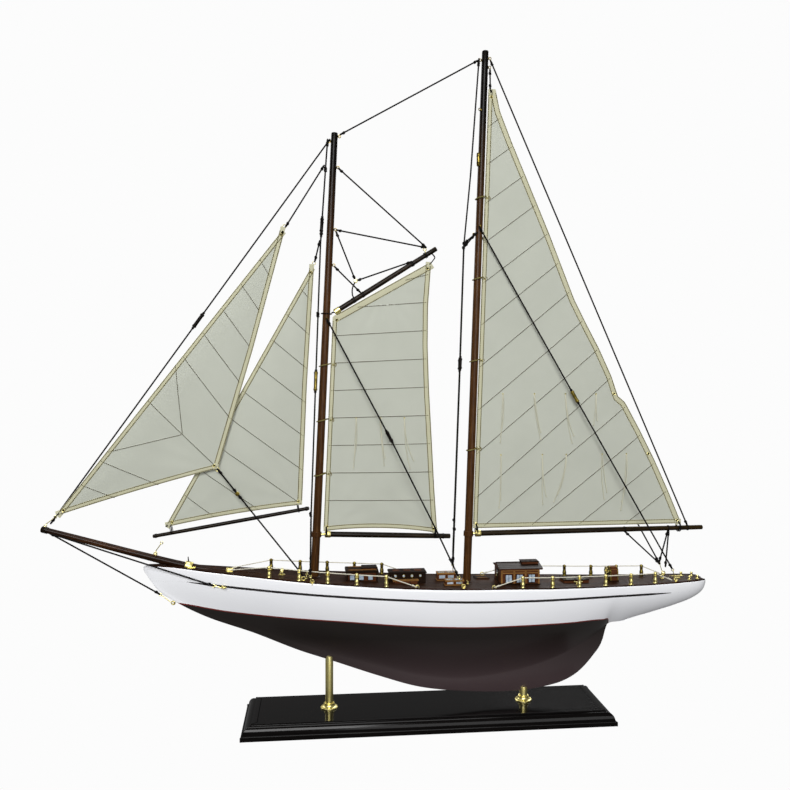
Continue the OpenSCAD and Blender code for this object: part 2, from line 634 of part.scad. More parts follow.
module peak_halyards() {
  color(ebony) {
    rod([-87.2, 0, 550], PEAK, cord_r);
    rod([-89.9, 0, 488.8], PEAK, cord_r);
    rod(PEAK, [-2.2, 0, 466], 0.6);
    cord([[-90.6, 0, 486], [-72.5, 0, 439], [-15.6, 0, 458.8]], cord_r);
    rod([-72.5, 0, 439], [-73.6, 0, 421], cord_r);
    rod([-92.2, 0, 452], [-67, 0, 426], cord_r);
  }
}

// ---- mainsail with its boom, turns about the mainmast ----
module main_boom() {
  color("#241813") spar(MAIN_BOOM, 2.8, 2.3);
}
module main_gooseneck() {
  color(bronze) gooseneck(MAIN_FOOT, MAIN_HEAD, MAIN_BOOM, 2.8);
}
module mainsail() {
  color(canvas) sailcloth(MAINSAIL);
}
module main_hoops() {
  color(ebony) hoops(MAIN_FOOT, MAIN_HEAD, [270, 360, 443, 525], 0.5);
}
module topping_lift() {
  color(ebony) {
    rod([66, 0, 664], [273.4, 0, 188.6], cord_r);
    rod([64.6, 0, 653.5], [65, 0, 637], cord_r);
  }
}
module mainsheet() {
  color(ebony) {
    rod([252.5, 0, 184.4], [242.8, 0, 150.7], cord_r);
    rod([253.2, 0, 184.4], [249.6, 0, 145.8], cord_r);
    rod([205.6, 0, 184], [244, 0, 149], cord_r);
  }
}

base_plinth();
pedestal_posts();
pedestal_collars();
pedestal_screws();
hull();
deck();
foremast();
mainmast();
bowsprit();
bowsprit_bands();
companion_house();
companion_roof();
companion_windows();
trunk_cabin();
trunk_roof();
trunk_portholes();
skylights();
skylight_glass();
cargo_hatch();
deckhouse();
deckhouse_roof();
deckhouse_windows();
deckhouse_hatch();
aft_skylight();
helm_box();
helm_wheel();
windlass();
stanchions();
lifelines();
deck_cleats();
stern_chocks();
mast_eyes();
deck_eyes();
rigging_hooks();
bowsprit_stays();
forestay();
jib_sail();
headsail_halyards();
headsail_sheets();
fore_shrouds();
spring_stay();
fore_runners();
main_shrouds();
main_runners();
rigging_blocks();
club_boom();
staysail();
fore_boom();
fore_gooseneck();
gaff();
foresail();
fore_hoops();
peak_halyards();
main_boom();
main_gooseneck();
mainsail();
main_hoops();
topping_lift();
mainsheet();
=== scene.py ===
"""Model sailing ship on a stand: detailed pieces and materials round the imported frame.

Shapes are worked out in millimetres in the frame's own axes: +X to the stern, -Y to port, +Z up.
Part.make turns them into metres.
"""

import math

import bmesh
import bpy
import numpy as np
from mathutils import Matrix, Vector


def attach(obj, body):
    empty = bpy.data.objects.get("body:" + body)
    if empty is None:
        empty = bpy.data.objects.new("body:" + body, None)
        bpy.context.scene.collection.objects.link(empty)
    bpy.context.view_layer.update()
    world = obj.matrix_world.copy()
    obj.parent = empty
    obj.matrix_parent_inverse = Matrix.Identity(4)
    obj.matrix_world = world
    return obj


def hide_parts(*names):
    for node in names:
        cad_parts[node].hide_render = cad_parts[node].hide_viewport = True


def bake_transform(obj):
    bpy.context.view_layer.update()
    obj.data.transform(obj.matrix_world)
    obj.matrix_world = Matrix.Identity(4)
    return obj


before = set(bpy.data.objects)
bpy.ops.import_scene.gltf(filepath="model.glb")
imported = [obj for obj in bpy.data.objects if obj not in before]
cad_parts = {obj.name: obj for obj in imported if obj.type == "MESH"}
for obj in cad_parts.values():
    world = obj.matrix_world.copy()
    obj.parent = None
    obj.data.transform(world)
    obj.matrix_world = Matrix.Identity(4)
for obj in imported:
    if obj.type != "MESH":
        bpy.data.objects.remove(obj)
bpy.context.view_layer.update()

MM = 0.001
UP = (0, 0, 1)
PORT_TO_STARBOARD = (0, 1, 0)
FORE_AND_AFT = (1, 0, 0)
SIDES = (-1, 1)

CAMERA_AT = (-0.11057, -0.790, 0.33206)
CAMERA_TURN = -5.615  # degrees about the vertical
CAMERA_LENS = 36  # mm, on a sensor as wide
LENS_SHIFT = -0.0088607595
LIT_POINT = (-0.05, 0, 0.28)
SKY_STRENGTH = 0.16


# ---------------------------------------------------------------- camera, light and floor
def make_camera():
    data = bpy.data.cameras.new("camera")
    data.lens = data.sensor_width = CAMERA_LENS
    data.shift_y = LENS_SHIFT
    data.clip_start, data.clip_end = 0.01, 50
    camera = bpy.data.objects.new("camera", data)
    camera.location = CAMERA_AT
    camera.rotation_euler = (math.radians(90), 0, math.radians(CAMERA_TURN))
    bpy.context.scene.collection.objects.link(camera)
    bpy.context.scene.camera = camera


def area_light(name, at, target, size, power):
    data = bpy.data.lights.new(name, "AREA")
    data.size, data.energy = size, power
    lamp = bpy.data.objects.new(name, data)
    lamp.location = at
    lamp.rotation_euler = (Vector(target) - Vector(at)).to_track_quat("-Z", "Y").to_euler()
    bpy.context.scene.collection.objects.link(lamp)


def make_world(strength):
    world = bpy.data.worlds.new("studio")
    world.use_nodes = True
    sky = world.node_tree.nodes["Background"]
    sky.inputs["Color"].default_value = (1, 1, 1, 1)
    sky.inputs["Strength"].default_value = strength
    bpy.context.scene.world = world


make_camera()
bpy.context.scene.view_settings.view_transform = "Standard"
make_world(SKY_STRENGTH)
# soft boxes: name, place, width, watts
for name, at, size, power in (
    ("key", (-0.45, -2.05, 1.25), 1.1, 42), ("fill", (0.45, -2.0, 0.5), 1.0, 8),
    ("top", (-0.1, 0.0, 2.1), 1.2, 18), ("back", (0.9, 1.5, 1.5), 1.1, 16),
    ("back_fill", (-1.2, 1.3, 1.1), 1.0, 9),
):
    area_light(name, at, LIT_POINT, size, power)

# ---------------------------------------------------------------- materials


def srgb(r, g, b):
    """Linear colour of an sRGB one given in 0 to 255."""

    def one(c):
        c /= 255
        return c / 12.92 if c <= 0.04045 else ((c + 0.055) / 1.055) ** 2.4

    return (one(r), one(g), one(b), 1)


class Shader:
    """A Principled material whose nodes are made by name."""

    def __init__(self, name, rough=0.5, **sockets):
        self.material = bpy.data.materials.new(name)
        self.material.use_nodes = True
        self.tree = self.material.node_tree
        self.bsdf = self.tree.nodes["Principled BSDF"]
        self.set("Roughness", rough)
        for key, value in sockets.items():
            self.set(key.replace("_", " "), value)
        self.coords = self.tree.nodes.new("ShaderNodeTexCoord").outputs["Object"]

    def set(self, socket, value):
        self.bsdf.inputs[socket].default_value = value

    def node(self, kind, inputs=(), **fields):
        made = self.tree.nodes.new("ShaderNode" + kind)
        for key, value in fields.items():
            setattr(made, key, value)
        for key, value in dict(inputs).items():
            if isinstance(value, bpy.types.NodeSocket):
                self.tree.links.new(value, made.inputs[key])
            else:
                made.inputs[key].default_value = value
        return made

    def link(self, output, socket):
        self.tree.links.new(output, self.bsdf.inputs[socket])

    def noise(self, scale, detail=4, rough=0.55, stretch=None):
        vector = self.coords
        if stretch is not None:
            vector = self.node("Mapping", {"Vector": vector, "Scale": stretch}).outputs["Vector"]
        made = self.node(
            "TexNoise", {"Vector": vector, "Scale": scale, "Detail": detail, "Roughness": rough},
        )
        return made.outputs["Fac"]

    def ramp(self, value, *stops):
        made = self.node("ValToRGB", {"Fac": value})
        stack = made.color_ramp.elements
        while len(stack) < len(stops):
            stack.new(0.5)
        for element, (place, colour) in zip(stack, stops):
            element.position, element.color = place, colour
        return made.outputs["Color"]

    def mix(self, factor, a, b):
        """Colour a where factor is 0 and b where it is 1."""
        return self.node("Mix", {0: factor, 6: a, 7: b}, data_type="RGBA").outputs[2]

    def math(self, operation, a, b=0.0):
        return self.node("Math", {0: a, 1: b}, operation=operation).outputs[0]

    def attribute(self, name):
        return self.node("Attribute", attribute_name=name).outputs["Fac"]

    def bump(self, height, strength, distance):
        made = self.node("Bump", {"Height": height, "Strength": strength, "Distance": distance})
        self.link(made.outputs["Normal"], "Normal")

    def rough_from(self, value, low, high):
        made = self.node("MapRange", {"Value": value, "To Min": low, "To Max": high})
        self.link(made.outputs["Result"], "Roughness")


def wood(name, dark, mid, light, rough, along, coat=0.0, grain=1.0):
    """Wood whose grain runs along one axis: 0, 1 or 2."""
    s = Shader(name, rough, Specular_IOR_Level=0.07, Coat_Weight=coat * 0.08, Coat_Roughness=0.1)
    stretch = [90.0, 90.0, 90.0]
    stretch[along] = 6.0
    fibre = s.noise(9 * grain, 6, 0.65, stretch)
    figure = s.noise(2.2, 3, 0.5, [x / 3 for x in stretch])
    both = s.math("ADD", s.math("MULTIPLY", fibre, 0.6), s.math("MULTIPLY", figure, 0.4))
    s.link(s.ramp(both, (0.34, dark), (0.5, mid), (0.66, light)), "Base Color")
    s.rough_from(fibre, rough * 0.8, rough * 1.25)
    s.bump(fibre, 0.25, 0.0001)
    return s.material


def metal(name, colour, tarnish, rough):
    s = Shader(name, rough, Metallic=1.0)
    cloud = s.noise(160, 5, 0.6)
    s.link(s.ramp(cloud, (0.38, tarnish), (0.58, colour)), "Base Color")
    s.rough_from(cloud, rough * 1.5, rough * 0.8)
    s.bump(s.noise(1400, 2), 0.08, 0.00005)
    return s.material


def lacquer():
    """Black lacquer over fine grained wood."""
    s = Shader("plinth_lacquer", 0.12, Specular_IOR_Level=0.16, Coat_Weight=0.03, Coat_Roughness=0.08)
    grain = s.noise(9, 6, 0.7, (5, 110, 110))
    s.link(s.ramp(grain, (0.35, srgb(3, 2, 2)), (0.7, srgb(12, 9, 8))), "Base Color")
    s.rough_from(grain, 0.08, 0.16)
    s.bump(grain, 0.12, 0.00004)
    return s.material


def hull_paint():
    """White topsides with a black stripe, a thin red line and a black bottom.

    The mesh's attributes say how far a point is above the waterline and off the stripe.
    """
    s = Shader("hull_paint", 0.3, Coat_Weight=0.35, Coat_Roughness=0.18)
    above = s.attribute("above_water")
    stripe = s.math("LESS_THAN", s.math("ABSOLUTE", s.attribute("stripe")), 1.0)
    cloud = s.noise(16, 4, 0.6, (0.5, 1, 1))
    white = s.ramp(cloud, (0.3, srgb(244, 245, 249)), (0.7, srgb(248, 249, 252)))
    black = s.ramp(
        s.noise(9, 5, 0.7, (0.35, 1, 1.6)), (0.3, srgb(20, 14, 11)), (0.62, srgb(26, 19, 16)),
        (0.8, srgb(36, 27, 25)),
    )
    # painted sheen: the black bottom turns lighter purple-brown towards the keel
    depth = s.node("SeparateXYZ", {"Vector": s.coords}).outputs["Z"]
    keel_painted_sheen = s.node("MapRange", {"Value": depth, "From Min": 0.085, "From Max": 0.035, "To Max": 0.8})
    black = s.mix(keel_painted_sheen.outputs["Result"], black, srgb(74, 61, 63))
    low = s.math("LESS_THAN", above, 0.0)
    red = s.math("LESS_THAN", above, 1.2)
    colour = s.mix(red, white, srgb(112, 30, 22))
    colour = s.mix(low, colour, black)
    colour = s.mix(stripe, colour, srgb(24, 18, 18))
    s.link(colour, "Base Color")
    s.rough_from(s.noise(60, 4), 0.26, 0.42)
    s.bump(s.noise(260, 4), 0.05, 0.0001)
    return s.material


def cloth(name, low, high, rough=0.85, through=0.0):
    """Closely woven cotton."""
    s = Shader(name, rough, Sheen_Weight=0.15, Sheen_Roughness=0.5)
    cloud = s.noise(18, 5, 0.6)
    wave = {"Vector": s.coords, "Scale": 420, "Distortion": 0.6}
    warp = s.node("TexWave", wave).outputs["Fac"]
    weft = s.node("TexWave", wave, bands_direction="Z").outputs["Fac"]
    weave = s.math("ADD", warp, weft)
    s.link(s.ramp(cloud, (0.3, low), (0.7, high)), "Base Color")
    s.rough_from(cloud, rough * 0.92, min(1, rough * 1.08))
    s.bump(weave, 0.25, 0.00012)
    if through:
        s.set("Subsurface Weight", through)
        s.set("Subsurface Radius", (0.002, 0.002, 0.0016))
    return s.material


def twine(name, low, high, rough=0.8):
    s = Shader(name, rough, Specular_IOR_Level=0.15)
    fibre = s.noise(2200, 3, 0.7)
    s.link(s.ramp(fibre, (0.3, low), (0.7, high)), "Base Color")
    s.bump(fibre, 0.4, 0.00008)
    return s.material


def painted(name, low, high, rough, coat=0.0, scale=120):
    s = Shader(name, rough, Coat_Weight=coat, Coat_Roughness=0.1)
    cloud = s.noise(scale, 5, 0.6)
    s.link(s.ramp(cloud, (0.3, low), (0.7, high)), "Base Color")
    s.rough_from(cloud, rough * 0.8, rough * 1.2)
    s.bump(s.noise(scale * 6, 3), 0.06, 0.00008)
    return s.material


def pane(name, low, high, rough):
    """Cast resin window pane, its tone mottled a little."""
    s = Shader(name, rough, Coat_Weight=1.0, Coat_Roughness=0.03)
    cloud = s.noise(220, 4, 0.6, (1, 1, 2))
    s.link(s.ramp(cloud, (0.35, low), (0.7, high)), "Base Color")
    s.rough_from(cloud, rough, rough * 1.6)
    return s.material


def mast_paint(name, split):
    """Varnished brown wood below the height called split, black above it, in metres."""
    s = Shader(name, 0.3, Specular_IOR_Level=0.12, Coat_Weight=0.05, Coat_Roughness=0.1)
    fibre = s.noise(9, 6, 0.65, (140, 140, 6))
    brown = s.ramp(fibre, (0.3, srgb(44, 24, 10)), (0.5, srgb(66, 40, 16)), (0.7, srgb(92, 60, 26)))
    black = s.ramp(fibre, (0.3, srgb(3, 2, 1)), (0.7, srgb(11, 7, 4)))
    height = s.node("SeparateXYZ", {"Vector": s.coords}).outputs["Z"]
    fade = {"Value": height, "From Min": split - 0.06, "From Max": split + 0.07}
    dark = s.node("MapRange", fade).outputs["Result"]
    s.link(s.mix(dark, brown, black), "Base Color")
    s.rough_from(fibre, 0.26, 0.4)
    s.bump(fibre, 0.2, 0.0001)
    return s.material


LACQUER = lacquer()
BRASS = metal("brass", srgb(252, 240, 166), srgb(238, 222, 140), 0.3)
# darker brass: on the starboard stanchions, the far side of the deck, it is painted shade of the same
# brass; other small fittings use it for a darker metal
DARK_AND_SHADED_BRASS = metal("dark_and_shaded_brass", srgb(150, 132, 62), srgb(84, 70, 28), 0.3)
STEEL = metal("steel", srgb(196, 198, 200), srgb(150, 152, 155), 0.3)
HULL_PAINT = hull_paint()
DECK_WOOD = wood("deck_wood", srgb(26, 13, 6), srgb(42, 23, 10), srgb(60, 35, 17), 0.42, 0, 0.3)
DECK_EDGE = wood("deck_edge_wood", srgb(26, 13, 6), srgb(38, 20, 10), srgb(54, 30, 15), 0.36, 0, 0.4)
CAULK = painted("deck_seam", srgb(30, 20, 14), srgb(42, 28, 20), 0.7)
FORE_PAINT = mast_paint("foremast_wood", 0.4846)
MAIN_PAINT = mast_paint("mainmast_wood", 0.543)
SPAR_WOOD = wood("spar_wood", srgb(8, 5, 2), srgb(22, 15, 6), srgb(48, 36, 15), 0.26, 0, 0.9)
SPRIT_WOOD = wood("bowsprit_wood", srgb(16, 8, 4), srgb(36, 20, 10), srgb(70, 42, 20), 0.28, 0, 0.8)
GAFF_WOOD = wood("gaff_wood", srgb(12, 8, 5), srgb(26, 18, 10), srgb(52, 38, 20), 0.28, 0, 0.8)
HOUSE_WOOD = wood("house_wood", srgb(54, 26, 13), srgb(78, 42, 22), srgb(104, 62, 34), 0.36, 0, 0.4)
ROOF_WOOD = wood("roof_wood", srgb(18, 9, 4), srgb(27, 15, 7), srgb(42, 25, 12), 0.36, 0, 0.4)
LIGHT_WOOD = wood("light_wood", srgb(104, 70, 34), srgb(132, 94, 50), srgb(160, 120, 68), 0.42, 0, 0.2)
# pale blue-white panes: this colour is painted reflection of the bright room on the glass
PANE_PAINTED_REFLECTION = pane("window_pane_painted_reflection", srgb(150, 166, 184), srgb(186, 200, 214), 0.12)
DARK_PANE = pane("dark_pane", srgb(22, 24, 28), srgb(44, 48, 56), 0.1)
TARRED = twine("tarred_twine", srgb(5, 4, 4), srgb(20, 17, 14))
PALE = twine("pale_twine", srgb(190, 186, 168), srgb(226, 222, 206))
REEF = twine("reef_twine", srgb(190, 189, 168), srgb(206, 205, 186))
SEAM_THREAD = twine("seam_thread", srgb(46, 39, 18), srgb(70, 61, 34))
SEWING = twine("sewing_thread", srgb(88, 82, 52), srgb(112, 106, 74))
HOOP_CORD = twine("hoop_cord", srgb(84, 76, 38), srgb(132, 122, 72))
BLOCK_WOOD = wood("block_wood", srgb(8, 6, 5), srgb(16, 12, 9), srgb(28, 22, 16), 0.36, 2, 0.3)
SAIL = cloth("sailcloth", srgb(180, 183, 171), srgb(186, 189, 177), 0.9, 0.05)
HEM = cloth("sail_hem", srgb(186, 184, 154), srgb(194, 192, 164), 0.9)


def stage_white(name):
    """Plain white of the floor and the backdrop, which light nothing."""
    s = Shader(name, 1.0)
    s.set("Base Color", (0, 0, 0, 1))
    s.set("Specular IOR Level", 0)
    s.set("Emission Color", (1, 1, 1, 1))
    s.set("Emission Strength", 0.974)
    return s.material


FLOOR = stage_white("floor")
BACKDROP = stage_white("backdrop")

# ---------------------------------------------------------------- shapes, as (points, faces)


def unit(v):
    v = np.asarray(v, float)
    return v / np.linalg.norm(v)


def across(axis):
    """Two unit vectors square to axis."""
    w = unit(axis)
    side = np.array([0.0, 1, 0]) if abs(w[1]) < 0.9 else np.array([1.0, 0, 0])
    u = unit(np.cross(side, w))
    return u, np.cross(w, u)


def joined(*shapes):
    points, faces, n = [], [], 0
    for p, f in shapes:
        points.append(np.asarray(p, float))
        faces += [tuple(i + n for i in face) for face in f]
        n += len(p)
    return np.concatenate(points), faces


def mirrored(shape):
    p, f = shape
    return np.asarray(p) * (1, -1, 1), [tuple(reversed(x)) for x in f]


def both_sides(shape):
    return joined(shape, mirrored(shape))


def moved(shape, by):
    return np.asarray(shape[0]) + np.asarray(by, float), shape[1]


def grid_faces(rows, n, closed=True):
    turns = n if closed else n - 1
    return [
        (i * n + j, i * n + (j + 1) % n, (i + 1) * n + (j + 1) % n, (i + 1) * n + j)
        for i in range(rows - 1)
        for j in range(turns)
    ]


def rings(points, caps=True, closed=True):
    """Skin over rings of points, rows x n x 3."""
    points = np.asarray(points, float)
    rows, n = points.shape[:2]
    faces = grid_faces(rows, n, closed)
    if caps:
        faces += [tuple(range(n))[::-1], tuple((rows - 1) * n + j for j in range(n))]
    return points.reshape(-1, 3), faces


def lathe(profile, at=(0, 0, 0), axis=UP, n=32, loop=False):
    """Turned shape: profile is (radius, height) along the axis; loop joins its last point to its first."""
    u, v = across(axis)
    w = unit(axis)
    a = np.linspace(0, 2 * math.pi, n, endpoint=False)
    circle = np.cos(a)[:, None] * u + np.sin(a)[:, None] * v
    pts = np.array([np.asarray(at, float) + h * w + r * circle for r, h in profile])
    if loop:
        pts = np.concatenate([pts, pts[:1]])
    return rings(pts, caps=not loop)


def rod(a, b, ra, rb=None, n=24, ease=0.3):
    """Round rod from a to b with softened ends."""
    a, b = np.asarray(a, float), np.asarray(b, float)
    rb = ra if rb is None else rb
    length = np.linalg.norm(b - a)
    e = min(ease, length / 4)
    near = [(ra - e, 0), (ra - 0.3 * e, 0.3 * e), (ra, e)]
    far = [(rb, length - e), (rb - 0.3 * e, length - 0.3 * e), (rb - e, length)]
    return lathe(near + far, a, b - a, n)


def ball(at, r, n=16, squash=1.0, axis=UP):
    steps = [math.radians(t) for t in np.linspace(-85, 85, 9)]
    return lathe([(r * math.cos(t), squash * r * math.sin(t)) for t in steps], at, axis, n)


def spaced(path, step):
    """Points about step apart along straight runs between the path's points."""
    path = np.asarray(path, float)
    out = []
    for a, b in zip(path[:-1], path[1:]):
        n = max(1, round(np.linalg.norm(b - a) / step))
        out += [a + (b - a) * k / n for k in range(n)]
    return np.array(out + [path[-1]])


def smooth_path(path, per=8):
    """Catmull-Rom curve through the path's points."""
    p = np.asarray(path, float)
    p = np.concatenate([[2 * p[0] - p[1]], p, [2 * p[-1] - p[-2]]])
    out = []
    for i in range(1, len(p) - 2):
        for t in np.linspace(0, 1, per, endpoint=False):
            a, b, c, d = p[i - 1 : i + 3]
            out.append(
                0.5 * (
                    2 * b + (c - a) * t + (
                        2 * a - 5 * b + 4 * c - d
                    ) * t**2 + (3 * b - a - 3 * c + d) * t**3
                )
            )
    return np.array(out + [p[-2]])


def swept(path, section):
    """Tube along path: section(i, u, v) gives ring i from two unit vectors square to the path."""
    path = np.asarray(path, float)
    along = np.gradient(path, axis=0)
    u, v = across(along[0])
    out = []
    for i, d in enumerate(along):
        w = unit(d)
        u = unit(u - w * (u @ w))
        v = np.cross(w, u)
        out.append(path[i] + section(i, u, v))
    return rings(out)


def tube(path, r, n=10):
    a = np.linspace(0, 2 * math.pi, n, endpoint=False)
    radius = np.broadcast_to(np.asarray(r, float), (len(path),))
    return swept(path, lambda i, u, v: radius[i] * (np.cos(a)[:, None] * u + np.sin(a)[:, None] * v))


def rope(path, r, lay=3.2, step=0.9, n=12):
    """Three strands laid up: a lobed tube that turns once every lay x its diameter."""
    path = spaced(path, step)
    run = np.concatenate([[0], np.cumsum(np.linalg.norm(np.diff(path, axis=0), axis=1))])
    a = np.linspace(0, 2 * math.pi, n, endpoint=False)
    turn = run / (2 * r * lay) * 2 * math.pi / 1.5

    def section(i, u, v):
        lobes = r * (0.78 + 0.26 * np.abs(np.cos(1.5 * (a - turn[i]))))
        return lobes[:, None] * (np.cos(a)[:, None] * u + np.sin(a)[:, None] * v)

    return swept(path, section)


def torus(at, axis, big, small, n=24, m=10):
    u, v = across(axis)
    w = unit(axis)
    a = np.linspace(0, 2 * math.pi, n, endpoint=False)
    b = np.linspace(0, 2 * math.pi, m, endpoint=False)
    out = []
    for t in a:
        d = math.cos(t) * u + math.sin(t) * v
        out.append(np.asarray(at) + d * big + small * (np.cos(b)[:, None] * d + np.sin(b)[:, None] * w))
    out.append(out[0])
    return rings(out, caps=False)


def prism(outline, lo, hi, axis=1, bevel=0.3, segments=2):
    """Straight extrusion with rounded edges from lo to hi along an axis.

    outline holds the other two coordinates, in order.
    """
    others = [k for k in range(3) if k != axis]
    bm = bmesh.new()
    made = []
    for level in (lo, hi):
        row = []
        for p in outline:
            c = [0.0, 0.0, 0.0]
            c[others[0]], c[others[1]], c[axis] = p[0], p[1], level
            row.append(bm.verts.new(c))
        made.append(row)
    n = len(outline)
    bm.faces.new(made[0])
    bm.faces.new(made[1][::-1])
    for i in range(n):
        bm.faces.new((made[0][i], made[1][i], made[1][(i + 1) % n], made[0][(i + 1) % n]))
    bmesh.ops.recalc_face_normals(bm, faces=bm.faces)
    if bevel:
        bmesh.ops.bevel(
            bm, geom=bm.edges[:], offset=bevel, segments=segments, affect="EDGES", clamp_overlap=True,
        )
    bm.verts.index_update()
    points = np.array([v.co[:] for v in bm.verts])
    faces = [tuple(v.index for v in f.verts) for f in bm.faces]
    bm.free()
    return points, faces


def slab(x0, x1, y0, y1, z0, z1, bevel=0.3):
    return prism([(x0, z0), (x1, z0), (x1, z1), (x0, z1)], y0, y1, 1, bevel)


def block(x, y, half_x, half_y, z0, z1, bevel=0.3):
    """Slab centred on x, y."""
    return slab(x - half_x, x + half_x, y - half_y, y + half_y, z0, z1, bevel)


def arc(radius, at, angles):
    """(radius, height) points round a circle centred at that height; angles in degrees."""
    turns = [math.radians(a) for a in angles]
    return [(radius * math.cos(t), at + radius * math.sin(t)) for t in turns]


def knot(at, axis, r):
    """A tied knot: a thin line drawn round a trefoil."""
    u, v = across(axis)
    w = unit(axis)
    t = np.linspace(0, 2 * math.pi, 49)
    a = (np.sin(t) + 2 * np.sin(2 * t)) / 3
    b = (np.cos(t) - 2 * np.cos(2 * t)) / 3
    path = np.asarray(at) + r * (a[:, None] * u + b[:, None] * v + 0.9 * (-np.sin(3 * t))[:, None] * w)
    return joined(tube(path, 0.42 * r, 8), ball(at, 0.7 * r, 10))


def whipping(a, b, r, pitch=0.45):
    """Close turns of thread round a cord, between a and b."""
    a, b = np.asarray(a, float), np.asarray(b, float)
    length = np.linalg.norm(b - a)
    turns = max(2, int(length / pitch))
    profile = [(r * 0.7, 0)]
    for i in range(turns):
        for k in range(4):
            h = (i + k / 4) * length / turns
            profile.append((r + 0.16 * math.sin(k / 4 * math.pi), h))
    profile += [(r, length), (r * 0.7, length)]
    return lathe(profile, a, b - a, 12)


def screw_eye(at, up=UP, ring=1.8, wire=0.5, shank=2.0, face=None):
    """Ring on a collared shank; at is where the shank enters the surface."""
    w = unit(up)
    at = np.asarray(at, float)
    face = across(w)[1] if face is None else unit(face)
    stem = [(0.3, -shank), (0.55, -shank + 0.4), (0.55, 0.1)]
    collar = [(1.15, 0.1), (1.2, 0.3), (0.8, 0.6), (0.5, 0.9), (0.2, 1)]
    eye = torus(at + w * (ring + wire * 0.4), face, ring, wire)
    return joined(eye, lathe(stem + collar, at, w, 16))


def hook(a, b, wire=0.42, loop=1.2):
    """Hook with an eye: the eye holds a cord's end at a, the bent tip goes round b."""
    a, b = np.asarray(a, float), np.asarray(b, float)
    w = unit(b - a)
    u, v = across(w)
    eye = torus(a, v, loop, wire, 20, 8)
    t = np.linspace(-0.2 * math.pi, 1.35 * math.pi, 18)
    bend = b + loop * (np.sin(t)[:, None] * u * -1 - np.cos(t)[:, None] * w)
    start = a + w * loop
    shank = [start + (bend[0] - start) * k / 5 for k in range(5)]
    return joined(eye, tube(np.concatenate([shank, bend]), wire, 8), ball(bend[-1], wire * 1.3, 8))


class Part:
    """Shapes gathered into one object, with a material for each."""

    def __init__(self):
        self.points, self.faces, self.which, self.materials, self.n = [], [], [], [], 0
        self.extra = {}

    def add(self, shape, material, **attributes):
        p, f = shape
        if material not in self.materials:
            self.materials.append(material)
        k = self.materials.index(material)
        self.points.append(np.asarray(p, float))
        self.faces += [tuple(i + self.n for i in face) for face in f]
        self.which += [k] * len(f)
        for key, value in attributes.items():
            self.extra.setdefault(key, []).append((self.n, np.asarray(value, float)))
        self.n += len(p)
        return self

    def make(self, name, body, slot, replaces=(), angle=34):
        mesh = bpy.data.meshes.new(name)
        mesh.from_pydata((np.concatenate(self.points) * MM).tolist(), [], self.faces)
        mesh.polygons.foreach_set("material_index", self.which)
        for m in self.materials:
            mesh.materials.append(m)
        for key, rows in self.extra.items():
            values = np.zeros(self.n, np.float32)
            for start, row in rows:
                values[start : start + len(row)] = row
            mesh.attributes.new(key, "FLOAT", "POINT").data.foreach_set("value", values)
        bm = bmesh.new()
        bm.from_mesh(mesh)
        bmesh.ops.remove_doubles(bm, verts=bm.verts, dist=1e-8)
        bmesh.ops.recalc_face_normals(bm, faces=bm.faces)
        bm.to_mesh(mesh)
        bm.free()
        mesh.polygons.foreach_set("use_smooth", [True] * len(mesh.polygons))
        mesh.set_sharp_from_angle(angle=math.radians(angle))
        obj = bpy.data.objects.new(name, mesh)
        bpy.context.scene.collection.objects.link(obj)
        if replaces:
            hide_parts(*([replaces] if isinstance(replaces, str) else replaces))
        if body:
            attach(obj, body)
        return obj


def part(name, body, slot, replaces, *shapes, angle=34):
    made = Part()
    for shape, material in shapes:
        made.add(shape, material)
    return made.make(name, body, slot, replaces, angle)


# ---------------------------------------------------------------- plinth and pedestals
PLINTH = (366.0, 81.0, 14.0)
PEDESTALS = (-98.7, 98.7)
KEEL_OVER_POST = {-98.7: 61.8, 98.7: 24.6}


def make_plinth():
    half_x, half_y, top = PLINTH[0] / 2, PLINTH[1] / 2, PLINTH[2]
    inset_x, inset_y = 9.5, 6.85
    profile = [(0.03, 0), (0, 0.4), (0, 4.0), (0.02, 4.35), (0.05, 4.5), (0.15, 4.5), (0.19, 4.52)]
    for a in np.linspace(0, 90, 15):
        a = math.radians(a)
        profile.append((0.2 + 0.72 * (1 - math.cos(a)), 4.55 + 7.85 * math.sin(a)))
    profile += [
        (0.95, 12.4), (0.985, 12.44), (1.0, 12.6), (1.0, 13.7), (1.01, 13.9), (1.035, 14.0), (1.6, top),
    ]
    rows = []
    for f, z in profile:
        x, y = half_x - f * inset_x, half_y - f * inset_y
        r = 0.5
        corner = [(r * (1 - math.sin(t)), r * (1 - math.cos(t))) for t in np.linspace(0, math.pi / 2, 4)]
        ring = [(x - a, y - b, z) for a, b in corner]
        ring += [(-x + a, y - b, z) for a, b in corner[::-1]]
        ring += [(-x + a, -y + b, z) for a, b in corner]
        ring += [(x - a, -y + b, z) for a, b in corner[::-1]]
        rows.append(ring)
    part("plinth", "ship", "plinth_lacquer", "base_plinth", (rings(rows), LACQUER), angle=30)


def make_pedestals():
    posts, collars = Part(), Part()
    for x in PEDESTALS:
        top = KEEL_OVER_POST[x] + 3.4
        shaft = [(3.0, 14), (3.9, 14.2), (3.9, top - 1.0), (3.75, top - 0.45)]
        shaft += [(3.3, top - 0.1), (2.6, top), (1.0, top + 0.05)]
        posts.add(lathe(shaft, (x, 0, 0), UP, 64), BRASS)
        flare = [(8.5 - 0.35, 14.0), (8.5, 14.15), (8.5, 14.75), (8.3, 15.0)]
        for a in range(0, 91, 9):
            t = math.radians(a)
            flare.append((8.05 - 2.9 * math.sin(t), 15.2 + 2.5 * (1 - math.cos(t))))
        flare += [(5.15, 18.2), (5.3, 18.45), (5.3, 18.7), (5.05, 19.0), (4.3, 19.05), (3.7, 18.9)]
        collars.add(lathe(flare, (x, 0, 0), UP, 64), BRASS)
    posts.make("pedestal_posts_turned", "ship", "brass", "pedestal_posts")
    collars.make("pedestal_collars_turned", "ship", "brass", "pedestal_collars")


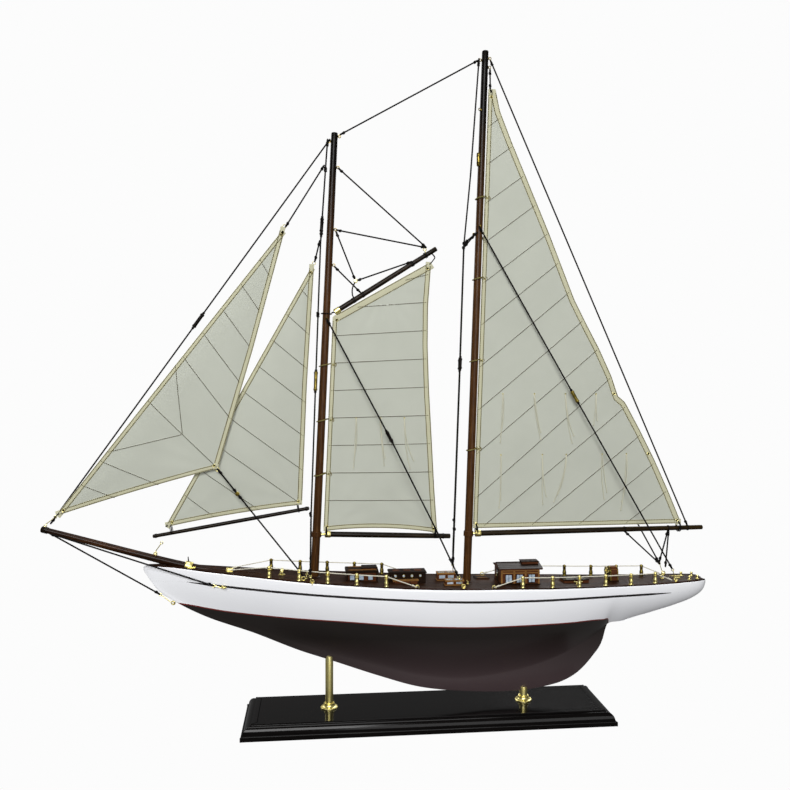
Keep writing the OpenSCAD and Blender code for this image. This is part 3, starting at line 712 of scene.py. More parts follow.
# ---------------------------------------------------------------- hull and deck
# x, half breadth, keel, rabbet, sheer
OFFSETS = np.array(
    [
        [-278, 1.5, 153, 155, 158.5], [-270, 3, 141.5, 144, 158.3], [-262, 4.8, 132.5, 136, 158],
        [-247, 7.8, 122.5, 126, 157.2], [-220, 12.2, 108.5, 112, 154], [-172, 18.3, 90.5, 95, 148.8],
        [-128, 24, 72, 78, 144.3], [-98, 27.6, 61.5, 68, 142], [-48, 30.9, 43.7, 53, 138.5],
        [-10, 31.8, 32, 43, 136.3], [30, 32, 26.2, 38, 134.9], [90, 31, 24, 44, 133.8],
        [120, 29.9, 27.4, 52, 133], [140, 28.6, 32.5, 60, 132.8], [156, 27.3, 41.5, 68, 132.5],
        [171, 26, 57, 77, 132.4], [181, 25.2, 72, 84, 132.4], [186, 24.8, 88.8, 89.4, 132.4],
        [201, 23.7, 91.4, 92, 132.4], [211, 22.9, 94.4, 95, 132.4], [232, 20.9, 99.8, 100.4, 132.6],
        [262, 17.3, 108.2, 108.8, 133.2], [276, 14.6, 113.3, 113.9, 133.5],
        [284, 11.9, 117.8, 118.4, 133.6], [288, 8.9, 121.6, 122.2, 133.2], [291, 4, 127, 127.6, 131.6],
    ]
)
FULLNESS = np.array([[-278, 1.2], [-128, 1.4], [0, 1.5], [120, 1.4], [186, 1.1], [232, 0.85], [291, 0.7]])
WATERLINE = np.array(
    [
        [-300, 128], [-262, 122.9], [-245, 121.2], [-197, 112.9], [-146.5, 107.8], [-85, 104.0],
        [-23, 99.1], [20, 96.8], [48.6, 95.8], [95, 96], [140, 96.4], [178, 96.6], [185.5, 94.8],
        [188.5, 86.5], [232, 94], [262, 101], [300, 115],
    ]
)
STRIPE = np.array(
    [
        [-237.5, 144.3], [-209, 141], [-146, 134.9], [-85, 130.5], [-24, 126.4], [26, 123.5], [94, 122.4],
        [162.5, 122.9], [250, 123.7],
    ]
)


def column(table, x, c):
    """Smooth cubic through column c of a table, at x."""
    x = np.asarray(x, float)
    t, v = table[:, 0], table[:, c]
    chords = np.diff(v) / np.diff(t)
    slopes = np.concatenate([[chords[0]], (chords[1:] + chords[:-1]) / 2, [chords[-1]]])
    i = np.clip(np.searchsorted(t, x, side="right") - 1, 0, len(t) - 2)
    h = t[i + 1] - t[i]
    u = np.clip((x - t[i]) / h, 0, 1)
    return (
        (2 * u**3 - 3 * u**2 + 1) * v[i] + (
            u**3 - 2 * u**2 + u
        ) * h * slopes[i] + (3 * u**2 - 2 * u**3) * v[i + 1] + (u**3 - u**2) * h * slopes[i + 1]
    )


def half_beam(x):
    return column(OFFSETS, x, 1)


def sheer_z(x):
    return column(OFFSETS, x, 4)


def deck_z(x):
    return sheer_z(x) + 1.2


def deck_at(x):
    """Height of the deck at one x, as a plain float."""
    return float(deck_z(x))


def make_hull():
    xs = np.concatenate([np.arange(-278, 283, 2.2), np.linspace(283.5, 291, 14)])
    levels = np.linspace(0, 1, 46)
    rows = []

    def row_at(x, shrink, push=0.0):
        b, keel, rabbet, sheer = (float(column(OFFSETS, x, c)) for c in (1, 2, 3, 4))
        k = min(2.2, 0.6 * b)
        full = np.interp(x, FULLNESS[:, 0], FULLNESS[:, 1])
        y = k + (b - k) * np.sin(np.radians(90 * levels**0.9)) ** full
        z = rabbet + (sheer - rabbet) * levels
        # the keel's foot has a small round on it
        y = np.concatenate([[k * 0.45, k * 0.85, k], y])
        z = np.concatenate([[keel, keel + 0.15, keel + min(0.8, 0.4 * (rabbet - keel))], z])
        # the sheer's top edge is eased
        y = np.concatenate([y, [b - 0.25, b - 0.9]])
        z = np.concatenate([z, [sheer + 0.32, sheer + 0.42]])
        middle = (keel + sheer) / 2
        y, z = y * shrink, middle + (z - middle) * shrink
        half = np.stack([np.full(len(y), x + push), y, z], 1)
        return np.concatenate([half[::-1] * (1, -1, 1), half])

    for shrink, push in ((0.3, -0.9), (0.7, -0.6)):
        rows.append(row_at(-278, shrink, push))
    for x in xs:
        rows.append(row_at(x, 1.0))
    for shrink, push in ((0.86, 0.35), (0.62, 0.6), (0.3, 0.75)):
        rows.append(row_at(291, shrink, push))
    points = np.array(rows)
    x, z = points[..., 0].ravel(), points[..., 2].ravel()
    water = z - column(WATERLINE, x, 1)
    # distance from the stripe's middle in half widths; the stripe tapers to both its ends
    off = z - column(STRIPE, x, 1)
    reach = np.minimum(x - STRIPE[0, 0], STRIPE[-1, 0] - x) / 26
    half = 1.15 * np.clip(reach, 0, 1) ** 0.7
    stripe = np.where(half > 0.02, off / np.maximum(half, 0.02), 60 * np.sign(off))
    stripe = np.clip(stripe, -60, 60)
    made = Part()
    made.add(rings(points), HULL_PAINT, above_water=water, stripe=stripe)
    made.make("hull_planking", "ship", "hull_paint", "hull", angle=50)


def make_deck():
    made = Part()
    edge, plank, gap = 4.0, 5.0, 0.17
    xs = np.arange(-274, 290.1, 3.0)
    inner = np.maximum(half_beam(xs) - edge, 0.2)

    def crown(x, y):
        return deck_z(x) - 0.24 * (np.abs(y) / np.maximum(half_beam(x), 1)) ** 2

    # seams: one dark sheet just under the planks
    under = []
    for x in xs:
        b = half_beam(x) - 0.9
        row = [(x, y, crown(x, y) - 0.34) for y in np.linspace(-b, b, 7)]
        under.append(row + [(x, b, sheer_z(x) - 0.6), (x, -b, sheer_z(x) - 0.6)])
    made.add(rings(under), CAULK)
    for k in range(-8, 9):
        lo, hi = k * plank - plank / 2, k * plank + plank / 2
        near = max(0.0, min(abs(lo), abs(hi)) if lo * hi > 0 else 0.0)
        use = [i for i in range(len(xs)) if inner[i] > near + 0.35]
        if len(use) < 4:
            continue
        rows = []
        for i in use:
            x = xs[i]
            a, b = max(lo, -inner[i]) + gap, min(hi, inner[i]) - gap
            za, zb = float(crown(x, a)), float(crown(x, b))
            c = min(0.22, (b - a) / 4)
            near_side = [(x, a, za - 0.5), (x, a, za - 0.12), (x, a + c, za)]
            rows.append(near_side + [(x, b - c, zb), (x, b, zb - 0.12), (x, b, zb - 0.5)])
        made.add(rings(rows), DECK_WOOD)
    rows = []
    for x in xs:
        b, i = half_beam(x) - 0.35, max(half_beam(x) - edge + gap, 0.25)
        z = float(crown(x, b))
        r = max(b - 1.5, (b + i) / 2)
        board = [(i, -0.5), (i, -0.1), (i + 0.15, 0), (r, 0)]
        toe_rail = [(r + 0.15, 0.55), (r + 0.4, 0.75), (b - 0.35, 0.75), (b, 0.5), (b, -0.9)]
        rows.append([(x, y, z + up) for y, up in board + toe_rail])
    made.add(both_sides(rings(rows)), DECK_EDGE)
    made.make("deck_planks", "ship", "deck_wood", "deck", angle=40)


# ---------------------------------------------------------------- masts and bowsprit
FORE_FOOT, FORE_HEAD = np.array([-114.1, 0, 128.0]), np.array([-93.4, 0, 586.5])
MAIN_FOOT, MAIN_HEAD = np.array([39.6, 0, 120.0]), np.array([59.4, 0, 674.5])
FORE_UP, MAIN_UP = unit(FORE_HEAD - FORE_FOOT), unit(MAIN_HEAD - MAIN_FOOT)
MAST_R, MAST_TAPER, TAPER_FROM = 4.0, 0.6, 200


def fore_at(z):
    return FORE_FOOT + (FORE_HEAD - FORE_FOOT) * (z - FORE_FOOT[2]) / (FORE_HEAD[2] - FORE_FOOT[2])


def main_at(z):
    return MAIN_FOOT + (MAIN_HEAD - MAIN_FOOT) * (z - MAIN_FOOT[2]) / (MAIN_HEAD[2] - MAIN_FOOT[2])


def make_masts():
    for name, node, foot, head, up, paint in (
        ("foremast_pole", "foremast", FORE_FOOT, FORE_HEAD, FORE_UP, FORE_PAINT),
        ("mainmast_pole", "mainmast", MAIN_FOOT, MAIN_HEAD, MAIN_UP, MAIN_PAINT),
    ):
        length = np.linalg.norm(head - foot)
        plain = TAPER_FROM - foot[2]
        profile = [(3.8, 0)] + [(MAST_R, h) for h in np.linspace(0.3, plain, 5)]
        for t in np.linspace(0.02, 1, 24):
            profile.append((MAST_R - MAST_TAPER * t, plain + (length - 1.0 - plain) * t))
        profile += [(3.2, length - 0.4), (2.8, length - 0.1), (0.4, length)]
        # wooden wedge ring where the mast goes through the deck
        deck = deck_z(foot[0]) - foot[2]
        wedge = [
            (3.9, deck - 1), (5.6, deck - 0.6), (5.6, deck + 0.4), (5.1, deck + 0.8), (3.9, deck + 0.9),
        ]
        part(
            name, "ship", "mast_wood", node, (lathe(profile, foot, up, 40), paint),
            (lathe(wedge, foot, up, 40), DECK_EDGE),
        )


SPRIT = [np.array(p) for p in ((-374, 0, 196), (-236, 0, 157.5), (-166, 0, 148))]


def make_bowsprit():
    path = smooth_path(SPRIT, 14)
    run = np.linspace(0, 1, len(path))
    r = 2.6 + 0.85 * np.sin(np.pi * np.clip(run, 0, 1)) ** 0.8
    path = np.concatenate([[path[0] - unit(path[1] - path[0]) * 0.35], path])
    r = np.concatenate([[1.6], r])
    made = Part()
    made.add(tube(path, r, 32), SPRIT_WOOD)
    axis = unit(SPRIT[0] - SPRIT[1])
    cap = [(2.6, -5.6), (3.15, -5.4), (3.2, -0.4), (2.9, 0.6), (2.2, 1.1), (0.6, 1.3)]
    made.add(lathe(cap, SPRIT[0], axis, 32), SPAR_WOOD)
    made.make("bowsprit_spar", "ship", "spar_wood", "bowsprit")
    bands = Part()
    for x, r, w, pin in ((-232.5, 3.9, 3.6, True), (-196, 3.4, 3.2, False)):
        i = int(np.argmin(abs(path[:, 0] - x)))
        at, z = path[i], deck_z(x)
        near = [(r - 0.5, -w), (r + 0.55, -w), (r + 0.75, -w + 0.3)]
        far = [(r + 0.75, w - 0.3), (r + 0.55, w), (r - 0.5, w)]
        bands.add(lathe(near + far, at, unit(path[i + 1] - path[i - 1]), 32), BRASS)
        if pin:
            bands.add(rod(at + (0, 0, r), at + (-0.6, 0, r + 5.5), 0.7, 0.45, 12), BLOCK_WOOD)
        # straps down to the deck on either side, with a foot and a nail
        for s in SIDES:
            bands.add(block(x, s * (r + 0.3), w, 0.35, z - 0.3, at[2], 0.15), BRASS)
            bands.add(block(x, s * (r + 1.6), w, 1.6, z - 0.3, z + 0.4, 0.12), BRASS)
            bands.add(ball((x, s * (r + 2), deck_at(x) + 0.4), 0.55, 10, 0.6), BRASS)
    bands.make("bowsprit_straps", "ship", "brass", "bowsprit_bands")


make_plinth()
make_pedestals()
make_hull()
make_deck()
make_masts()
make_bowsprit()
screw_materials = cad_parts["pedestal_screws"].data.materials
screw_materials.clear()
screw_materials.append(STEEL)


# ---------------------------------------------------------------- deck houses
def framed_pane(x, z, w, h, y, frame_w, mullion):
    """Window let into a wall that faces -Y: frame bars, a mullion and the pane; returns (bars, pane)."""
    left, right, low, high = x - w / 2, x + w / 2, z - h / 2, z + h / 2
    back = y + 0.3
    bars = [
        slab(left - frame_w, right + frame_w, y - 0.45, back, high, high + frame_w, 0.12),
        slab(left - frame_w, right + frame_w, y - 0.6, back, low - frame_w, low, 0.12),
        slab(left - frame_w, left, y - 0.45, back, low, high, 0.12),
        slab(right, right + frame_w, y - 0.45, back, low, high, 0.12),
    ]
    if mullion:
        bars.append(slab(x - 0.22, x + 0.22, y - 0.35, back, low, high, 0.08))
    return joined(*bars), slab(left, right, y - 0.12, back, low, high, 0.05)


def deck_box(x0, x1, half_w, top, y=0.0, bevel=0.35, sink=0.4):
    """Box that stands on the deck, let in by sink, with a level top."""
    outline = [(x0, deck_at(x0) - sink), (x1, deck_at(x1) - sink), (x1, top), (x0, top)]
    return prism(outline, y - half_w, y + half_w, 1, bevel)


def skirting(x0, x1, half_w, height=1.0, out=0.45):
    """Strips round the foot of a deck house."""
    low = [deck_at(x) - 0.3 for x in (x0, x1)]
    high = [z + height + 0.3 for z in low]
    outline = [(x0 - out, low[0]), (x1 + out, low[1]), (x1 + out, high[1]), (x0 - out, high[0])]
    side = prism(outline, -half_w - out, -half_w + 0.2, 1, 0.15)
    return joined(
        side, moved(side, (0, 2 * half_w + out - 0.2, 0)),
        slab(x0 - out, x0 + 0.2, -half_w, half_w, low[0], high[0], 0.15),
        slab(x1 - 0.2, x1 + out, -half_w, half_w, low[1], high[1], 0.15),
    )


def boards(x0, x1, y0, y1, z, n, thick=0.5, gap=0.16):
    """A roof of n boards running fore and aft."""
    w = (y1 - y0) / n
    edges = [(y0 + i * w + gap / 2, y0 + (i + 1) * w - gap / 2) for i in range(n)]
    return joined(*[slab(x0, x1, a, b, z, z + thick, 0.12) for a, b in edges])


def add_panes(node_name, name, xs, z, w, h, wall, frame_w, mullion):
    """The windows of a deck house, on both its sides."""
    panes = Part()
    for x in xs:
        bars, glass = framed_pane(x, z, w, h, -wall, frame_w, mullion)
        panes.add(both_sides(bars), ROOF_WOOD)
        panes.add(both_sides(glass), PANE_PAINTED_REFLECTION)
    panes.make(name, "ship", "window_glass", node_name)


def make_companion():
    x0, x1, w, top = -82, -51, 10.5, 149.5
    made = Part()
    made.add(deck_box(x0, x1, w, top), HOUSE_WOOD)
    made.add(skirting(x0, x1, w), DECK_EDGE)
    for x in (x0 + 0.9, x1 - 0.9):
        for s in SIDES:
            made.add(block(x, s * w, 0.9, 0.35, deck_at(x), top - 0.3, 0.15), ROOF_WOOD)
    # double door in the aft end
    z0 = deck_at(x1)
    for s in SIDES:
        made.add(
            slab(x1 - 0.1, x1 + 0.35, s * 3.1 - 2.8, s * 3.1 + 2.8, z0 + 1.2, top - 1.2, 0.15),
            LIGHT_WOOD,
        )
        made.add(ball((x1 + 0.6, s * 0.9, (z0 + top) / 2), 0.4, 10), BRASS)
    made.make("companion_walls", "ship", "house_wood", "companion_house")
    roof = Part()
    roof.add(slab(x0 - 1, x1 + 1, -w - 1, w + 1, top - 0.05, top + 1.4, 0.3), ROOF_WOOD)
    roof.add(boards(x0 - 0.6, x1 + 0.6, -w - 0.6, w + 0.6, top + 1.3, 7, 0.7), ROOF_WOOD)
    hx0, hx1 = x0 + 16, x0 + 30
    roof.add(slab(hx0, hx1, -6, 6, top + 1.9, top + 3.4, 0.25), HOUSE_WOOD)
    roof.add(slab(hx0 - 0.7, hx1 + 0.7, -6.7, 6.7, top + 3.3, top + 4.2, 0.25), ROOF_WOOD)
    for s in SIDES:
        roof.add(
            slab(x0 + 2, x1 - 1, s * 7.3 - 0.35, s * 7.3 + 0.35, top + 1.9, top + 2.7, 0.15), LIGHT_WOOD,
        )
    roof.add(torus((hx1 + 0.8, 0, top + 3.0), (1, 0, 0), 0.8, 0.2, 16, 6), BRASS)
    roof.make("companion_roof_boards", "ship", "house_wood", "companion_roof")
    windows = (-76.3, -67.3, -58.3)
    add_panes("companion_windows", "companion_panes", windows, 144.9, 4.4, 4.6, w, 0.45, False)


def make_trunk():
    x0, x1, w, top = -39, -2.8, 7.5, 147
    made = Part()
    made.add(deck_box(x0, x1, w, top), ROOF_WOOD)
    made.add(deck_box(-35.8, -10.7, 12.5, 141.4), HOUSE_WOOD)
    made.add(both_sides(slab(-36.2, -10.3, -12.9, -7.4, 140.7, 141.7, 0.2)), LIGHT_WOOD)
    for k in range(4):
        x = -35.0 + 7.9 * k
        made.add(
            both_sides(slab(x - 0.5, x + 0.5, -12.8, -12.2, deck_at(x) - 0.2, 140.9, 0.12)), ROOF_WOOD,
        )
    made.make("trunk_walls", "ship", "house_wood", "trunk_cabin")
    roof = Part()
    roof.add(slab(x0 - 1, x1 + 1, -w - 1, w + 1, top - 0.05, top + 1.3, 0.3), ROOF_WOOD)
    roof.add(boards(x0 - 0.6, x1 + 0.6, -w - 0.6, w + 0.6, top + 1.2, 6, 0.6), ROOF_WOOD)
    for x in (-32, -21, -10):
        roof.add(slab(x - 3.4, x + 3.4, -3.2, 3.2, top + 1.7, top + 2.1, 0.15), HOUSE_WOOD)
    roof.make("trunk_roof_boards", "ship", "house_wood", "trunk_roof")
    rims = Part()
    lens = [(1.3, -0.2), (1.3, 0.15), (1.0, 0.3), (0.5, 0.38), (0.1, 0.4)]
    for i in range(4):
        x, z = -33.2 + 8.3 * i, 144.8
        rims.add(both_sides(torus((x, -w - 0.25, z), PORT_TO_STARBOARD, 1.3, 0.25, 28, 8)), DARK_AND_SHADED_BRASS)
        rims.add(both_sides(lathe(lens, (x, -w, z), (0, -1, 0), 28)), PANE_PAINTED_REFLECTION)
    rims.make("trunk_portlights", "ship", "window_glass", "trunk_portholes")


def make_skylights():
    frames, glass = Part(), Part()
    for cx, cy, top in ((20, 8, 143.8), (25, -12, 141)):
        frames.add(deck_box(cx - 9.5, cx + 9.5, 4.5, top - 0.3, y=cy), HOUSE_WOOD)
        low = deck_at(cx)
        frames.add(deck_box(cx - 9.9, cx + 9.9, 4.9, low + 1.0, y=cy, bevel=0.2), LIGHT_WOOD)
        for s in SIDES:
            frames.add(block(cx, cy + s * 4.0, 9.6, 0.65, top - 0.8, top + 0.55, 0.18), LIGHT_WOOD)
        for x in (cx - 8.9, cx, cx + 8.9):
            frames.add(block(x, cy, 0.7, 4.6, top - 0.8, top + 0.6, 0.18), LIGHT_WOOD)
        # two lights in the side wall, as well as the two on top
        middle, h = (top + low) / 2 + 0.2, (top - low) * 0.42
        for e in SIDES:
            x = cx + e * 4.5
            glass.add(block(x, cy, 3.6, 3.4, top - 0.4, top + 0.3, 0.1), PANE_PAINTED_REFLECTION)
            bars, side_pane = framed_pane(x, middle, 6.0, h, cy - 4.5, 0.4, False)
            frames.add(bars, LIGHT_WOOD)
            glass.add(side_pane, PANE_PAINTED_REFLECTION)
            for k in (-1, 0, 1):
                bar = [(x + 1.8 * k, cy + y, top + 0.45) for y in (-3.6, 3.6)]
                frames.add(tube(bar, 0.14, 6), BRASS)
    frames.make("skylight_frames", "ship", "light_wood", "skylights")
    glass.make("skylight_panes", "ship", "window_glass", "skylight_glass")
    hatch = Part()
    hatch.add(deck_box(51.5, 65.5, 6, 136.2, y=15), HOUSE_WOOD)
    hatch.add(boards(51.1, 65.9, 8.6, 21.4, 136.1, 5, 0.7), ROOF_WOOD)
    for y in (11, 19):
        hatch.add(slab(53, 64, y - 0.4, y + 0.4, 136.7, 137.1, 0.15), LIGHT_WOOD)
    hatch.make("cargo_hatch_cover", "ship", "house_wood", "cargo_hatch")


def make_deckhouse():
    x0, x1, w, top = 72, 112, 14, 149.8
    made = Part()
    made.add(deck_box(x0, x1, w, top), HOUSE_WOOD)
    made.add(skirting(x0, x1, w, 1.2), ROOF_WOOD)
    for s in SIDES:
        for x in (x0 + 1, 85.8, 97.5, x1 - 1):
            made.add(block(x, s * w, 0.8, 0.4, deck_at(x) + 1, top - 0.3, 0.15), LIGHT_WOOD)
        made.add(slab(x0 + 0.3, x1 - 0.3, s * w - 0.4, s * w + 0.4, 146.1, 147.1, 0.15), LIGHT_WOOD)
        made.add(slab(x0 + 0.3, x1 - 0.3, s * w - 0.3, s * w + 0.3, 148.4, 149.4, 0.15), LIGHT_WOOD)
    # door with a window in the fore end, two windows in the aft end
    made.add(slab(x0 - 0.4, x0 + 0.1, -4, 4, 135.6, 148.6, 0.2), ROOF_WOOD)
    made.add(slab(x0 - 0.6, x0, -2.6, 2.6, 142, 147, 0.15), DARK_PANE)
    made.add(ball((x0 - 0.8, 3.0, 141), 0.5, 10), BRASS)
    for s in SIDES:
        made.add(slab(x1 - 0.1, x1 + 0.4, s * 7 - 3.4, s * 7 + 3.4, 139, 147, 0.2), LIGHT_WOOD)
        made.add(slab(x1, x1 + 0.55, s * 7 - 2.6, s * 7 + 2.6, 139.8, 146.2, 0.1), PANE_PAINTED_REFLECTION)
    made.make("deckhouse_walls", "ship", "house_wood", "deckhouse")
    roof = Part()
    eave, ridge = w + 1.5, top + 4.8
    gable = [(-eave, top), (eave, top), (eave, top + 0.9), (0, ridge - 0.5), (-eave, top + 0.9)]
    roof.add(prism(gable, x0 - 1.2, x1 + 2.6, 0, 0.2), HOUSE_WOOD)
    # boards up each slope, and a ridge cap
    n = 4
    for k in range(n):
        y0, y1 = -eave + k * eave / n + 0.08, -eave + (k + 1) * eave / n - 0.08
        z0, z1 = (top + 0.9 + (ridge - 1.4 - top) * (y + eave) / eave for y in (y0, y1))
        board = [(y0, z0), (y1, z1), (y1, z1 + 0.5), (y0, z0 + 0.5)]
        roof.add(both_sides(prism(board, x0 - 1.6, x1 + 3, 0, 0.12)), ROOF_WOOD)
    roof.add(slab(x0 - 1.8, x1 + 3.2, -0.9, 0.9, ridge - 0.5, ridge + 0.4, 0.2), ROOF_WOOD)
    roof.make("deckhouse_roof_boards", "ship", "house_wood", "deckhouse_roof")
    hatch = Part()
    hatch.add(slab(96, 113, -5, 5, ridge - 1.6, ridge + 0.9, 0.3), HOUSE_WOOD)
    hatch.add(boards(95.5, 113.5, -5.5, 5.5, ridge + 0.8, 4, 0.8), ROOF_WOOD)
    hatch.make("deckhouse_hatch_cover", "ship", "house_wood", "deckhouse_hatch")
    windows = (80.2, 91.4, 103.7)
    add_panes("deckhouse_windows", "deckhouse_panes", windows, 141, 6, 7.6, w, 0.6, True)


def make_aft_fittings():
    made = Part()
    made.add(deck_box(139, 165, 8, 136.2, bevel=0.25), HOUSE_WOOD)
    for y in (-7.4, 7.4):
        made.add(slab(138.8, 165.2, y - 0.7, y + 0.7, 135.8, 137.2, 0.2), ROOF_WOOD)
    for x in (139.6, 152, 164.4):
        made.add(slab(x - 0.7, x + 0.7, -8, 8, 135.8, 137.25, 0.2), ROOF_WOOD)
    for x in (145.8, 158.2):
        made.add(slab(x - 5.6, x + 5.6, -6.8, 6.8, 136.0, 136.9, 0.15), DARK_PANE)
    made.make("aft_skylight_lid", "ship", "dark_glass", "aft_skylight")

    box = Part()
    x0, x1, z = 188.5, 197.0, 143.0
    arch, rim = (arc(r, z, np.linspace(0, 180, 25)) for r in (5.5, 5.75))
    foot = deck_at(192) - 0.4
    box.add(prism([(5.5, foot)] + arch + [(-5.5, foot)], x0 + 0.8, x1 - 0.8, 0, 0.25), HOUSE_WOOD)
    for a, b in ((x0, x0 + 1.1), (x1 - 1.1, x1)):
        box.add(prism([(5.75, foot)] + rim + [(-5.75, foot)], a, b, 0, 0.3), DARK_AND_SHADED_BRASS)
    for y, slat_z in arc(5.62, z, range(30, 151, 30)):
        box.add(tube([(x0 + 0.9, y, slat_z), (x1 - 0.9, y, slat_z)], 0.25, 6), LIGHT_WOOD)
    box.add(deck_box(x0 - 0.6, x1 + 0.6, 6.1, deck_at(192) + 1.1, bevel=0.2), ROOF_WOOD)
    box.make("helm_pedestal", "ship", "house_wood", "helm_box")

    wheel = Part()
    hub = (186, 0, 143)
    rim = [(3.6, -0.55), (4.15, -0.6), (4.4, -0.35), (4.4, 0.35), (4.15, 0.6), (3.6, 0.55), (3.5, 0)]
    wheel.add(lathe(rim, hub, FORE_AND_AFT, 48, loop=True), DARK_AND_SHADED_BRASS)
    axle = [(0.3, -1.6), (1.0, -1.5), (1.6, -0.8), (1.6, 0.8)]
    axle += [(0.95, 1.1), (0.78, 1.2), (0.78, 6.8), (0.3, 6.9)]
    wheel.add(lathe(axle, hub, FORE_AND_AFT, 32), BRASS)
    spoke = [(0.3, 1.2), (0.42, 1.6), (0.32, 2.2), (0.5, 2.8), (0.32, 3.4)]
    handle = [(0.32, 4.3), (0.5, 4.5), (0.36, 4.8), (0.55, 5.05), (0.2, 5.3)]
    for k in range(8):
        t = math.radians(45 * k)
        wheel.add(lathe(spoke + handle, hub, (0, math.cos(t), math.sin(t)), 12), BRASS)
    wheel.make("helm_wheel_turned", "helm", "brass", "helm_wheel")


# ---------------------------------------------------------------- deck fittings
STANCHIONS_FORE = (-157, -128, -100.5, -72.5, -44)
STANCHIONS_AFT = (91, 121.5, 149.5, 177.5, 204.5, 231)


LIFELINE_HOLE = 9.9  # above the deck


def rail_foot(x):
    """Where the port stanchion at x stands."""
    return np.array([x, -float(half_beam(x)) + 3.6, deck_at(x)])


def rail_top(x):
    return rail_foot(x) + (0, 0, LIFELINE_HOLE)


def make_windlass():
    x, z = -145.5, deck_at(-145.5)
    made = Part()
    stand = [(3.3, -0.6), (3.3, 0.3), (3.0, 0.7), (1.8, 1.0), (1.5, 1.6)]
    stand += [(1.4, 3.0), (1.7, 3.4), (1.7, 4.6), (1.2, 5.0), (0.3, 5.2)]
    made.add(lathe(stand, (x, 0, z), UP, 32), BRASS)
    half = [
        (1.2, 1.7), (1.5, 2.2), (1.0, 2.4), (1.0, 4.5), (1.5, 4.9), (1.9, 5.5), (1.5, 6.1), (0.4, 6.3),
    ]
    drum = [(r, -y) for r, y in half[::-1]] + half
    made.add(lathe(drum, (x, 0, z + 3.6), PORT_TO_STARBOARD, 32), BRASS)
    made.make("windlass_turned", "ship", "brass", "windlass")


def make_stanchions():
    made = Part()
    shape = [(0.7, -2), (0.8, -0.3), (2.2, -0.3), (2.25, 0.5), (2.0, 0.9), (1.8, 1.4), (1.95, 2.4)]
    shape += [(2.05, 3.2), (1.9, 4.2), (1.65, 5.2), (1.5, 6.2), (1.5, 7.2), (1.75, 7.6), (1.8, 8.0)]
    shape += [(1.4, 8.3), *arc(1.8, 9.7, range(-55, 81, 15)), (0.05, 11.5)]
    bush = [(0.5, -1.85), (0.75, -1.75), (0.75, 1.75), (0.5, 1.85)]
    for x in STANCHIONS_FORE + STANCHIONS_AFT:
        at = rail_foot(x)
        made.add(lathe(shape, at, UP, 24), BRASS)
        # the starboard stanchions, on the far side, take the darker brass: painted shade of the same brass
        made.add(lathe(shape, at * (1, -1, 1), UP, 24), DARK_AND_SHADED_BRASS)
        made.add(both_sides(lathe(bush, rail_top(x), FORE_AND_AFT, 12)), DARK_AND_SHADED_BRASS)
    made.make("stanchions_turned", "ship", "brass", "stanchions")


def cleat(at, length, along):
    """Two-horned cleat on two feet and a base plate."""
    d = unit(along)
    side = np.cross(UP, d)
    at = np.asarray(at, float)
    s = np.linspace(-1, 1, 17)
    path = at + d * (s[:, None] * length / 2) + np.array(UP) * (1.9 + 0.55 * s[:, None] ** 2)
    horns = tube(path, 0.75 - 0.35 * np.abs(s), 12)
    corners = [(a * length * 0.24, b * 1.1) for a, b in ((-1, -1), (1, -1), (1, 1), (-1, 1))]
    plate = prism(
        [tuple((at + d * a + side * b)[:2]) for a, b in corners], at[2] - 0.2, at[2] + 0.35, 2, 0.12,
    )
    foot = [(1.0, -0.6), (1.0, 0.2), (0.6, 0.6), (0.55, 1.6), (0.8, 2.0)]
    feet = [lathe(foot, at + d * e * length * 0.18, UP, 16) for e in SIDES]
    return joined(horns, plate, *feet, ball(path[0], 0.5, 10), ball(path[-1], 0.5, 10))


def make_cleats():
    made = Part()
    for x in (-121, 39.5):
        made.add(both_sides(cleat((x, -9, deck_at(x)), 6, PORT_TO_STARBOARD)), BRASS)
    made.add(cleat((262, 0, deck_at(262)), 14, (1, 0, 0)), BRASS)
    made.add(cleat((152, -13, deck_at(152)), 8, (1, 0, 0)), BRASS)
    made.make("deck_cleats_cast", "ship", "brass", "deck_cleats")
    chocks = Part()
    knob = [(1.9, -0.3), (1.9, 0.2), (1.2, 0.5), (0.85, 1.0), (0.8, 1.6), (1.2, 1.9)]
    knob += arc(1.4, 2.7, range(-40, 81, 15))
    for x, y in ((271, -9.5), (281, -6.5)):
        chocks.add(both_sides(lathe(knob, (x, y, deck_at(x)), UP, 24)), BRASS)
    chocks.make("stern_chocks_turned", "ship", "brass", "stern_chocks")


FORE_SHROUD_EYE = np.array([-115.5, -25.2, 143.6])
FORE_RUNNER_EYE = np.array([31.8, -28.2, 136.1])
MAIN_RUNNER_EYE = np.array([254, -14.8, 134.3])
SHEET_EYE = np.array([246, 0, 134])
BOB_EYE = np.array([-249.5, 0, 123.5])
SPRIT_SHROUD_EYE = np.array([-200, -14.6, 139])
JIB_SHEET_EYE = np.array([-124, -18.6, 145.2])
LINE_FORE_END = np.array([-14, -28.4, 138.6])
LINE_AFT_START = np.array([62, -28.6, 136.4])
LINE_AFT_END = np.array([250, -14.5, 135.9])
BOB_OUT = unit((-0.64, 0, -0.77))
SPRIT_SHROUD_OUT = unit((0, -0.91, 0.42))


